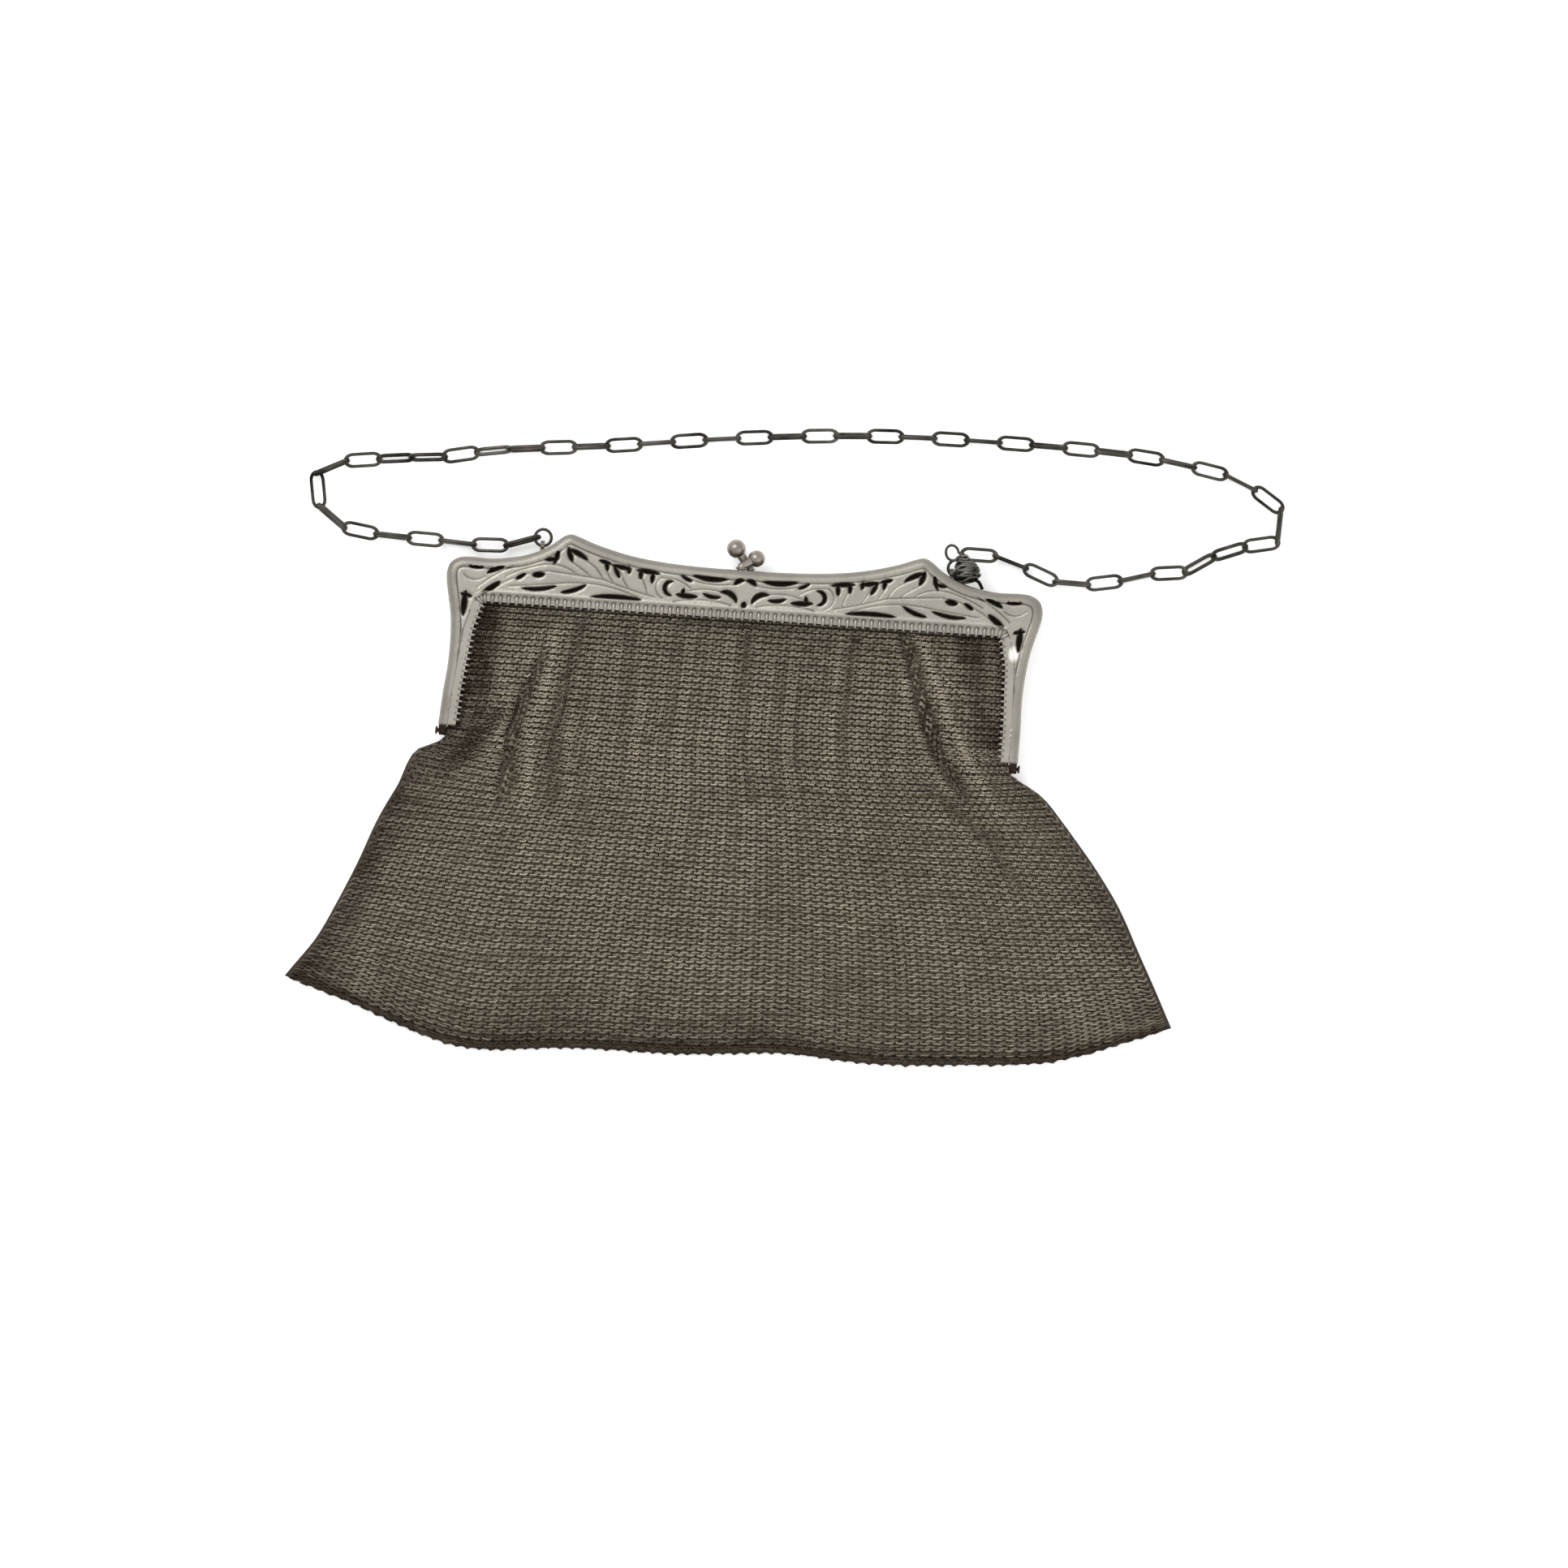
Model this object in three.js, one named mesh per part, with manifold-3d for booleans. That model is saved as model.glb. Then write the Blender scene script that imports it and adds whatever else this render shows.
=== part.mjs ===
// A flat evening purse of ring mesh on a hinged, pierced silver frame with a link chain, lying on its back.
// Millimetres. x runs along the rail of the frame, y from the hem to the clasp, z up from the surface.
// The hinge axis of the frame is at y = 0, and the sewing edge, where the mesh meets the rail, at armLength.

import * as THREE from 'three';
import { mergeVertices } from 'three/addons/utils/BufferGeometryUtils.js';
import Module from 'manifold-3d';

const wasm = await Module();
wasm.setup();

// Frame.
const frameWidth = 151;      // over both arms
const armLength = 33.3;      // hinge axis to sewing edge
const crestHeight = 18.4;    // sewing edge to the two peaks
const armWidth = 4.4;
const frameDepth = 10.4;     // both halves, closed
const partingGap = 0.4;      // between the halves
const plate = 1.1;           // metal of the faces
const rimWall = 1.2;         // metal of the sides
const shoulderWidth = 2.2;   // rounded edge of a face, as seen from above
const shoulderDepth = 1.8;
const flangeWidth = 2.2;     // stepped strip that the mesh is bound to
const flangeStep = 0.4;
const piercingMargin = 0.5;  // metal kept between the pierced work and the shoulder or the flange
const cornerRadius = 1.5;

// Hinges.
const knuckleRadius = 1.15;
const knuckleLength = 1.95;
const knuckleGap = 0.3;
const pinRadius = 0.5;
const pinClearance = 0.15;
const pinHeadRadius = 0.95;
const pinHeadLength = 0.5;
const hingeDrop = 1.45;      // hinge axis to the ends of the arms

// Clasp.
const frontBallRadius = 2.15;
const backBallRadius = 2.4;
const stemRadius = 0.8;
const stemClearance = 0.15;
const collarRadius = 1.35;
const collarLength = 0.6;

// Ears and rings for the chain.
const earSpacing = 104;
const earRadius = 1.3;
const earWidth = 1;
const earHole = 0.75;
const earRise = 1.2;         // rim to the hole's centre
const ringRadius = 2.1;      // to the middle of the wire
const ringWire = 0.38;

// Chain.
const linkLength = 9.68;
const linkWidth = 3.8;
const linkWire = 0.75;
const linkOverlap = 0.12;    // of two wires where they are soldered
const linkCount = 49;
const linkSway = 8;          // degrees that links roll from square

// Wire knot.
const knotRadius = 2.2;
const knotWire = 0.35;
const knotFan = 30;          // degrees between its turns

// Mesh bag.
const bagDrop = 78;          // hinge axis to the middle of the hem
const hemWidth = 225.5;
const meshWall = 1.3;
const meshTuck = 1.2;        // of the mesh behind the frame
const mouthTuck = 1.6;
const hemGap = 0.5;          // inside the bag, at the hem
const sideBulge = 0.6;
const seatGap = 0.3;         // between pieces that rest on each other

const seamZ = frameDepth / 2;
const frontEdge = seamZ + partingGap / 2;
const halfWidth = frameWidth / 2;
const flatBag = 2 * meshWall + hemGap;
const mouthTop = frameDepth - plate - seatGap;
const mouthBottom = plate + seatGap;

// Right half of the frame's outline, from the middle of the rail round the peak and down the arm.
// Columns: share of the half width, share of the crest height above the sewing edge or, where negative,
// of the arm length below it.
const outlineTable = [
  [0, 0.663], [0.132, 0.668], [0.265, 0.696], [0.358, 0.739], [0.437, 0.804], [0.517, 0.897],
  [0.57, 0.978], [0.593, 1], [0.617, 0.962], [0.649, 0.853], [0.689, 0.755], [0.742, 0.668],
  [0.795, 0.62], [0.848, 0.592], [0.927, 0.598], [0.96, 0.582], [0.988, 0.51], [1, 0.39],
  [0.999, 0.25], [0.99, 0.08], [0.975, -0.105], [0.967, -0.255], [0.964, -0.465], [0.97, -0.705],
];
const armEndShare = 0.9735;

// Width of an arm on the way down. Columns: share of the arm length below the sewing edge, share of armWidth.
const armTaper = [[0, 1.8], [0.06, 1.75], [0.225, 1.25], [0.465, 1.05], [0.7, 1], [1, 1]];

// Pierced leaves of the right half; the left half mirrors them. Columns: share of the half width, shares of
// the crest height for the rise above the sewing edge, the length and the width, then the heading at the
// middle and the whole bend, in degrees.
const leaves = [
  [0, 0.19, 0.076, 0.065, 90, 0], [0.023, 0.508, 0.147, 0.052, -28, -50],
  [0.046, 0.326, 0.283, 0.065, 30, -90], [0.11, 0.27, 0.24, 0.042, 8, 40],
  [0.118, 0.51, 0.456, 0.057, 3, 25], [0.197, 0.495, 0.158, 0.035, 28, 15],
  [0.193, 0.258, 0.293, 0.063, 3, 10], [0.207, 0.304, 0.109, 0.044, 100, 0],
  [0.269, 0.359, 0.315, 0.046, 95, 190], [0.327, 0.554, 0.315, 0.049, 6, 0],
  [0.311, 0.484, 0.158, 0.049, -85, 0], [0.351, 0.516, 0.13, 0.046, -85, 0],
  [0.416, 0.592, 0.26, 0.054, 8, 0], [0.432, 0.527, 0.174, 0.049, -117, 0],
  [0.392, 0.56, 0.098, 0.043, -95, 0], [0.472, 0.647, 0.163, 0.043, 15, 0],
  [0.466, 0.598, 0.12, 0.043, -100, 0], [0.564, 0.739, 0.304, 0.06, 25, -25],
  [0.592, 0.717, 0.196, 0.063, -108, -15], [0.636, 0.668, 0.196, 0.052, -75, 25],
  [0.652, 0.636, 0.163, 0.043, -8, 0], [0.428, 0.182, 0.674, 0.049, 0, -12],
  [0.571, 0.234, 0.348, 0.046, -20, 28], [0.687, 0.217, 0.467, 0.041, -7, 28],
  [0.693, 0.413, 0.185, 0.087, -8, 0], [0.752, 0.375, 0.136, 0.041, -35, 0],
  [0.837, 0.457, 0.26, 0.06, -25, -20], [0.903, 0.467, 0.19, 0.041, 2, 0],
  [0.846, 0.201, 0.272, 0.065, -35, 10], [0.932, -0.043, 0.337, 0.076, -90, 0],
  [0.928, 0.07, 0.152, 0.049, 12, 0],
];

// Rows of the bag beside the arms. Columns: share of the arm length above the hinge, crown and side, both
// as shares of the height that a full mouth has over a flat bag.
const armRows = [
  [0.985, 1, 1], [0.886, 1.05, 0.98], [0.721, 1.1, 0.98], [0.526, 1.12, 0.98], [0.315, 1.1, 0.96],
  [0.135, 1.07, 0.93],
];

// Rows of the bag below the arms. Columns: share of the bag's drop to the row's middle; for each end of the
// row the share of the spread from the hinges to the hem and the share of the drop; crown and side as
// above; share of the hem's waves that the row takes.
const lowerRows = [
  [0.019, 0, -0.01, 0, -0.01, 1.03, 0.76, 0], [0.045, 0, 0.024, 0, 0.024, 1, 0.62, 0],
  [0.077, 0.135, 0.041, 0.135, 0.041, 0.97, 0.4, 0], [0.128, 0.267, 0.071, 0.267, 0.083, 0.92, 0.24, 0],
  [0.218, 0.377, 0.186, 0.399, 0.179, 0.82, 0.15, 0], [0.333, 0.483, 0.31, 0.587, 0.314, 0.7, 0.12, 0],
  [0.462, 0.569, 0.442, 0.73, 0.436, 0.57, 0.1, 0.1], [0.603, 0.666, 0.571, 0.851, 0.571, 0.44, 0.085, 0.25],
  [0.744, 0.774, 0.699, 0.961, 0.692, 0.32, 0.07, 0.5], [0.885, 0.884, 0.788, 1.028, 0.769, 0.17, 0.035, 0.8],
  [1, 0.939, 0.831, 1.061, 0.806, 0, 0, 1],
];

// Waves of the hem. Columns: place across the row and spread, both from -1 to 1, and share of the drop.
const hemWaves = [[-0.62, 0.2, 0.073], [0.15, 0.15, -0.026], [0.78, 0.16, 0.038]];

// Folds. Columns: x as a share of the half width and y as a share of the arm length or, below the hinges,
// of the drop, for both ends of a valley; its width and its depth as shares of the frame's depth.
const folds = [
  [-0.834, 0.871, -0.808, 0.09, 0.433, 0.154], [-0.808, 0.18, -0.927, -0.115, 0.385, 0.173],
  [-0.675, 0.6, -0.768, -0.192, 0.385, 0.144], [-0.563, 0.93, -0.623, -0.231, 0.365, 0.106],
  [-1.152, -0.333, -1.245, -0.641, 0.48, 0.087], [0.556, 0.871, 0.702, 0.09, 0.404, 0.183],
  [0.702, 0.09, 0.781, -0.167, 0.404, 0.183], [0.795, 0.6, 0.874, -0.077, 0.385, 0.135],
  [0.874, -0.077, 0.993, -0.333, 0.385, 0.135], [0.848, -0.013, 0.98, -0.18, 0.288, 0.115],
  [0.04, 0.78, 0.053, 0.12, 0.288, 0.048], [0.159, 0.66, 0.199, 0, 0.288, 0.043],
  [-0.106, 0.75, -0.119, 0.15, 0.288, 0.034], [0.344, 0.84, 0.397, 0.15, 0.288, 0.048],
];

// Places along the chain, from the left ring to the right one, as it happens to lie.
const chainRoute = [
  [-62, 47.7], [-78, 48], [-95, 48.6], [-103, 49.9], [-108.9, 54.5], [-112.3, 60.4], [-106.3, 66.4],
  [-98.3, 67.4], [-91, 69], [-82, 69.3], [-65, 72.6], [-38, 75.5], [-4, 79.9], [30, 82.8], [64, 83.3],
  [98, 82.2], [111, 80.4], [120, 78.7], [128, 75.1], [134.5, 70.4], [134.7, 62.8], [126.7, 60.7],
  [119.4, 58.4], [113.5, 53.3], [105, 52.3], [97, 49.9], [88, 48], [80, 47.6], [72, 50.6], [62.8, 53.6],
];

// Twist of the chain in degrees, by the link's number: half a turn in the left bend, a quarter in the right.
const chainTwist = [[0, 0], [9, 0], [15, 180], [39, 180], [42, 270]];

const radians = THREE.MathUtils.degToRad;
const vector = (x, y, z) => new THREE.Vector3(x, y, z);
const upward = vector(0, 0, 1);

function between(table, at) {
  const next = table.findIndex(([start]) => start >= at);
  if (next < 0) return table.at(-1)[1];
  if (next === 0) return table[0][1];
  const [[x0, y0], [x1, y1]] = [table[next - 1], table[next]];
  return y0 + (y1 - y0) * (at - x0) / (x1 - x0);
}

// Closed mesh from points and triangles, turned so that its faces point out.
function meshOf(points, triangles) {
  let volume = 0;
  for (const [a, b, c] of triangles) {
    volume += points[a].dot(points[b].clone().cross(points[c]));
  }
  const faces = volume < 0 ? triangles.map(([a, b, c]) => [a, c, b]) : triangles;
  const geometry = new THREE.BufferGeometry();
  geometry.setAttribute('position', new THREE.Float32BufferAttribute(
    points.flatMap((point) => point.toArray()), 3));
  geometry.setIndex(faces.flat());
  return geometry;
}

function solidOf(geometry) {
  const plain = geometry.clone().deleteAttribute('normal').deleteAttribute('uv');
  const merged = mergeVertices(plain, 1e-4);
  return new wasm.Manifold(new wasm.Mesh({
    numProp: 3,
    vertProperties: new Float32Array(merged.attributes.position.array),
    triVerts: new Uint32Array(merged.index.array),
  }));
}

function geometryOf(solid) {
  const mesh = solid.getMesh();
  const geometry = new THREE.BufferGeometry();
  geometry.setAttribute('position', new THREE.BufferAttribute(mesh.vertProperties, 3));
  geometry.setIndex(new THREE.BufferAttribute(mesh.triVerts, 1));
  return geometry;
}

const joined = (solids) => solids.reduce((whole, solid) => whole.add(solid));

// Triangles of the strip between two rings of the same number of points.
function strip(from, to, count) {
  const triangles = [];
  for (let i = 0; i < count; i += 1) {
    const next = (i + 1) % count;
    triangles.push([from + i, from + next, to + next], [from + i, to + next, to + i]);
  }
  return triangles;
}

// Solid with one outline at each of several heights. Each layer is [points, z].
function stack(layers) {
  const count = layers[0][0].length;
  const points = layers.flatMap(([outline, z]) => outline.map(([x, y]) => vector(x, y, z)));
  const triangles = [];
  for (let i = 1; i < layers.length; i += 1) {
    triangles.push(...strip((i - 1) * count, i * count, count));
  }
  const flat = (outline) => outline.map(([x, y]) => new THREE.Vector2(x, y));
  const last = (layers.length - 1) * count;
  const bottom = THREE.ShapeUtils.triangulateShape(flat(layers[0][0]), []);
  const top = THREE.ShapeUtils.triangulateShape(flat(layers.at(-1)[0]), []);
  triangles.push(...bottom.map(([a, b, c]) => [a, c, b]));
  triangles.push(...top.map(([a, b, c]) => [a + last, b + last, c + last]));
  return solidOf(meshOf(points, triangles));
}

// Outline moved inwards, or outwards where the distance is negative. It runs counterclockwise.
function inset(outline, distance) {
  return outline.map(([x, y], i) => {
    const [px, py] = outline.at(i - 1);
    const [nx, ny] = outline[(i + 1) % outline.length];
    const before = new THREE.Vector2(x - px, y - py).normalize();
    const after = new THREE.Vector2(nx - x, ny - y).normalize();
    const inward = new THREE.Vector2(-before.y - after.y, before.x + after.x);
    const reach = distance * 2 / Math.max(inward.lengthSq(), 1);
    return [x + inward.x * reach, y + inward.y * reach];
  });
}

// Wire along a path, with mitred corners. `up` is the direction that all its sections share.
function wire(path, radius, sides, up, closed) {
  const count = path.length;
  const ahead = (i) => path[(i + 1) % count].clone().sub(path[i % count]).normalize();
  const points = [];
  path.forEach((place, i) => {
    const open = !closed && (i === 0 || i === count - 1);
    const before = i > 0 || closed ? ahead(i - 1 + count) : ahead(0);
    const after = i < count - 1 || closed ? ahead(i) : before;
    const cut = open ? before : before.clone().add(after).normalize();
    const side = up.clone().cross(before).normalize();
    const lift = before.clone().cross(side).normalize();
    for (let k = 0; k < sides; k += 1) {
      const angle = 2 * Math.PI * k / sides;
      const spoke = side.clone().multiplyScalar(radius * Math.cos(angle));
      spoke.addScaledVector(lift, radius * Math.sin(angle));
      spoke.addScaledVector(before, -spoke.dot(cut) / before.dot(cut));
      points.push(place.clone().add(spoke));
    }
  });
  const triangles = [];
  for (let i = 0; i < (closed ? count : count - 1); i += 1) {
    triangles.push(...strip(i * sides, ((i + 1) % count) * sides, sides));
  }
  if (!closed) {
    const last = (count - 1) * sides;
    for (let k = 2; k < sides; k += 1) {
      triangles.push([0, k, k - 1], [last, last + k - 1, last + k]);
    }
  }
  return solidOf(meshOf(points, triangles));
}

const bar = (from, to, radius, sides, up = upward) => wire([from, to], radius, sides, up, false);

function ball(centre, radius) {
  const sphere = new THREE.SphereGeometry(radius, 12, 8);
  sphere.rotateX(Math.PI / 2).translate(centre.x, centre.y, centre.z);
  return solidOf(sphere);
}

// Outline of the frame, counterclockwise from the right arm's end over the rail to the left arm's end.
function frameOutline() {
  const half = outlineTable.map(([across, rise]) => [
    across * halfWidth, armLength + rise * (rise > 0 ? crestHeight : armLength)]);
  half.push([armEndShare * halfWidth, hingeDrop]);
  const mirrored = half.slice(1).map(([x, y]) => [-x, y]);
  return [...half.reverse(), ...mirrored];
}

const outline = frameOutline();
const rightSide = outline.slice(0, outlineTable.length + 1);
const armSide = rightSide.filter(([x, y]) => y < armLength + crestHeight / 2 && x > halfWidth * 0.9);
const outerX = (y) => between(armSide.map(([x, at]) => [at, x]), y);
const openingX = (y) => outerX(y) - armWidth * between(armTaper, (armLength - y) / armLength);
const railTop = (x) => between(rightSide.filter(([at]) => at < halfWidth * 0.95).map(([at, y]) => [at, y])
  .reverse(), Math.abs(x));

// The opening that the mesh fills, grown by a margin, from below the arms' ends to the sewing edge.
function opening(margin) {
  const corner = cornerRadius / 3;
  const side = [-armWidth, hingeDrop, ...armTaper.slice(1, 5).reverse()
    .map(([down]) => armLength * (1 - down))].filter((y, i, all) => i === 0 || y > all[i - 1]);
  const right = side.map((y) => [openingX(Math.max(y, hingeDrop)) + margin, y]);
  const top = openingX(armLength * (1 - armTaper[1][0])) + margin;
  right.push([top - corner, armLength + margin - corner], [top - cornerRadius, armLength + margin]);
  return [...right, ...right.map(([x, y]) => [-x, y]).reverse()];
}

function leafOutline([along, rise, length, width, heading, bend]) {
  const reach = length * crestHeight;
  const stations = [0, 0.2, 0.5, 0.8, 1];
  const turn = (t) => radians(heading + bend * (t - 0.5));
  const spine = [new THREE.Vector2()];
  stations.slice(1).forEach((t, i) => {
    const angle = turn((t + stations[i]) / 2);
    const step = reach * (t - stations[i]);
    spine.push(spine[i].clone().add(new THREE.Vector2(Math.cos(angle), Math.sin(angle)).multiplyScalar(step)));
  });
  const middle = spine[2];
  const place = new THREE.Vector2(along * halfWidth, armLength + rise * crestHeight).sub(middle);
  const edge = (side) => stations.map((t, i) => {
    const bulge = side * width * crestHeight / 2 * Math.sin(Math.PI * t) ** 0.7;
    const angle = turn(t) + Math.PI / 2;
    return [spine[i].x + place.x + bulge * Math.cos(angle), spine[i].y + place.y + bulge * Math.sin(angle)];
  });
  return [...edge(-1), ...edge(1).slice(1, -1).reverse()];
}

// One half of the frame without its openwork: a tray whose hollow side is open towards the mesh.
// `face` is the height of its outer face and `edge` the height of its parting edge.
function frameTray(face, edge) {
  const inwards = Math.sign(edge - face);
  const shell = stack([
    [outline, edge],
    [outline, face + inwards * shoulderDepth],
    [inset(outline, shoulderWidth * 0.3), face + inwards * shoulderDepth * 0.4],
    [inset(outline, shoulderWidth), face],
  ].sort((a, b) => a[1] - b[1]));
  const hollow = inset(outline, rimWall);
  const floor = face + inwards * plate;
  const past = edge + inwards;
  return shell
    .subtract(stack([[hollow, Math.min(floor, past)], [hollow, Math.max(floor, past)]]))
    .subtract(stack([[opening(0), -1], [opening(0), frameDepth + 1]]));
}

// Knuckle and neck of one half on one arm. The front half takes the outer places on the pins.
function knuckle(side, front) {
  const middle = armEndShare * halfWidth - armWidth / 2;
  const from = front ? middle + knuckleGap / 2 : middle - knuckleGap / 2 - knuckleLength;
  const flip = (z) => (front ? z : frameDepth - z);
  const neck = [
    [0, seamZ - knuckleRadius * 0.2], [0, seamZ + knuckleRadius * 0.95],
    [hingeDrop + rimWall / 2, frontEdge + plate * 1.6], [hingeDrop + rimWall / 2, frontEdge],
    [knuckleRadius * 0.9, frontEdge],
  ];
  const span = [side * from, side * (from + knuckleLength)];
  const points = span.flatMap((x) => neck.map(([y, z]) => vector(x, y, flip(z))));
  const count = neck.length;
  const triangles = strip(0, count, count);
  for (let k = 2; k < count; k += 1) {
    triangles.push([0, k, k - 1], [count, count + k - 1, count + k]);
  }
  const barrel = bar(vector(span[0], 0, seamZ), vector(span[1], 0, seamZ), knuckleRadius, 14);
  return barrel.add(solidOf(meshOf(points, triangles)));
}

const hingeBore = (side) => bar(vector(side * halfWidth * 0.8, 0, seamZ),
  vector(side * halfWidth * 1.1, 0, seamZ), pinRadius + pinClearance, 10);

function hingePin(side) {
  const middle = side * (armEndShare * halfWidth - armWidth / 2);
  const reach = knuckleGap / 2 + knuckleLength + seatGap;
  const at = (x) => vector(middle + x, 0, seamZ);
  const head = (end) => bar(at(end * reach), at(end * (reach + pinHeadLength)), pinHeadRadius, 12);
  return joined([bar(at(-reach - pinHeadLength / 2), at(reach + pinHeadLength / 2), pinRadius, 10),
    head(-1), head(1)]);
}

// Clasp. Each knob is a ball on a stem whose shank passes the rim wall of its half.
const railMiddle = railTop(0);
const frontFoot = vector(-1.3, railMiddle, frontEdge + plate + stemRadius / 2);
const backFoot = vector(0.8, railMiddle, frameDepth - frontFoot.z);
const frontBall = vector(2.4, railMiddle + 3.3, seamZ + stemRadius / 2);
const backBall = vector(-2.9, railMiddle + 5.5, seamZ - stemRadius * 1.4);

function claspKnob(foot, centre, radius) {
  const along = (distance) => foot.clone().add(vector(0, distance, 0));
  const neck = along(seatGap + collarLength);
  return joined([
    ball(centre, radius),
    wire([neck.clone().setY(neck.y - collarLength / 2), neck.lerp(centre, 0.25), centre],
      stemRadius, 10, upward, false),
    bar(along(-rimWall - seatGap - collarLength / 2), along(seatGap + collarLength / 2), stemRadius, 10),
    bar(along(seatGap), along(seatGap + collarLength), collarRadius, 12),
    bar(along(-rimWall - seatGap - collarLength), along(-rimWall - seatGap), collarRadius, 12),
  ]);
}

const shankHole = (foot) => bar(foot.clone().setY(foot.y + 1),
  foot.clone().setY(foot.y - 2 * rimWall), stemRadius + stemClearance, 12);

// Ears on the back half, each with a hole for its ring.
const earX = earSpacing / 2;
const earCentre = (side) => vector(side * earX, railTop(earX) + earRise, (frameDepth - frontEdge) * 0.68);

function ear(side) {
  const centre = earCentre(side);
  const reach = vector(earWidth / 2, 0, 0);
  const root = centre.clone().setY(railTop(earX) - rimWall / 2);
  const base = new THREE.BoxGeometry(earWidth, centre.y - root.y, earRadius * 1.6);
  base.translate(centre.x, (centre.y + root.y) / 2, centre.z);
  return bar(centre.clone().sub(reach), centre.clone().add(reach), earRadius, 14)
    .add(solidOf(base))
    .subtract(bar(centre.clone().addScaledVector(reach, -2), centre.clone().addScaledVector(reach, 2),
      earHole, 10));
}

function frameFront() {
  const cutFrom = frameDepth - plate - seatGap;
  const cutTo = frameDepth + 1;
  const cutters = leaves.flatMap((leaf) => {
    const points = leafOutline(leaf);
    const mirrored = points.map(([x, y]) => [-x, y]).reverse();
    return (leaf[0] > 0 ? [points, mirrored] : [points]).map((each) => stack([[each, cutFrom], [each, cutTo]]));
  });
  const field = inset(outline, shoulderWidth - piercingMargin);
  const flange = opening(flangeWidth);
  const kept = opening(flangeWidth + piercingMargin);
  const openwork = joined(cutters)
    .intersect(stack([[field, cutFrom - 1], [field, cutTo + 1]]))
    .subtract(stack([[kept, cutFrom - 2], [kept, cutTo + 2]]));
  return frameTray(frameDepth, frontEdge)
    .subtract(openwork)
    .subtract(stack([[flange, frameDepth - flangeStep], [flange, cutTo]]))
    .subtract(shankHole(frontFoot))
    .add(knuckle(1, true)).add(knuckle(-1, true))
    .subtract(hingeBore(1)).subtract(hingeBore(-1));
}

function frameBack() {
  return frameTray(0, frameDepth - frontEdge)
    .subtract(shankHole(backFoot))
    .add(knuckle(1, false)).add(knuckle(-1, false))
    .subtract(hingeBore(1)).subtract(hingeBore(-1))
    .add(ear(1)).add(ear(-1));
}

// Rings in the ears, lying flat.
function ringLoop(centre, radius, wireRadius, count) {
  const path = Array.from({ length: count }, (_, i) => {
    const angle = 2 * Math.PI * i / count;
    return vector(centre.x + radius * Math.cos(angle), centre.y + radius * Math.sin(angle), centre.z);
  });
  return wire(path, wireRadius, 5, upward, true);
}

const leftRing = earCentre(-1).add(vector(0, ringRadius, 0));
const rightRing = earCentre(1).add(vector(-ringRadius * 0.19, ringRadius * 0.98, 0));

// Wire knot: turns that share two poles, one inside the right ring and one inside the last link.
const knotCentre = rightRing.clone().add(vector(ringRadius, ringRadius * 0.95, -seatGap));
const knotPole = vector(0.89, 0.46, 0).normalize();

function knotPoint(turn, angle) {
  const lean = knotPole.clone().cross(upward).multiplyScalar(Math.sin(radians(turn)));
  const rise = lean.addScaledVector(upward, Math.cos(radians(turn)));
  return knotCentre.clone()
    .addScaledVector(knotPole, knotRadius * Math.cos(angle))
    .addScaledVector(rise, knotRadius * Math.sin(angle));
}

function wireKnot() {
  const turns = [-knotFan, 0, knotFan].map((turn) => {
    const path = Array.from({ length: 10 }, (_, i) => knotPoint(turn, 2 * Math.PI * i / 10));
    const normal = path[3].clone().sub(path[8]).cross(path[0].clone().sub(path[5])).normalize();
    return wire(path, knotWire, 5, normal, true);
  });
  const hold = knotPoint(-knotFan, Math.PI / 2);
  const eyeAxis = vector(-0.9, 0.4, -0.15).normalize();
  const eyeSide = upward.clone().cross(eyeAxis).normalize();
  const [eyeLong, eyeShort] = [knotRadius * 0.82, knotRadius * 0.52];
  const eye = Array.from({ length: 10 }, (_, i) => hold.clone()
    .addScaledVector(eyeAxis, eyeLong * (1 - Math.cos(2 * Math.PI * i / 10)))
    .addScaledVector(eyeSide, eyeShort * Math.sin(2 * Math.PI * i / 10)));
  const tailEnd = vector(earX + ringRadius * 3.3, railTop(earX + ringRadius * 3.3) + 2 * seatGap + 1, seamZ - 1);
  const tailStart = knotPoint(knotFan, Math.PI / 2);
  const tail = [tailStart, tailStart.clone().lerp(tailEnd, 0.3).add(vector(0.4, 0.3, 0)),
    tailStart.clone().lerp(tailEnd, 0.65).add(vector(0.5, 0.2, 0)), tailEnd];
  return joined([...turns, wire(eye, knotWire, 5, eyeAxis.clone().cross(eyeSide), true),
    wire(tail, knotWire, 5, upward, false)]);
}

// Chain. Joints are the places where two links cross, one pitch apart.
const jointReach = (linkWire - linkOverlap) / 2;
const pitch = linkLength - linkWire - 2 * jointReach;
const lowHeight = linkWidth / 2;

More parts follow.
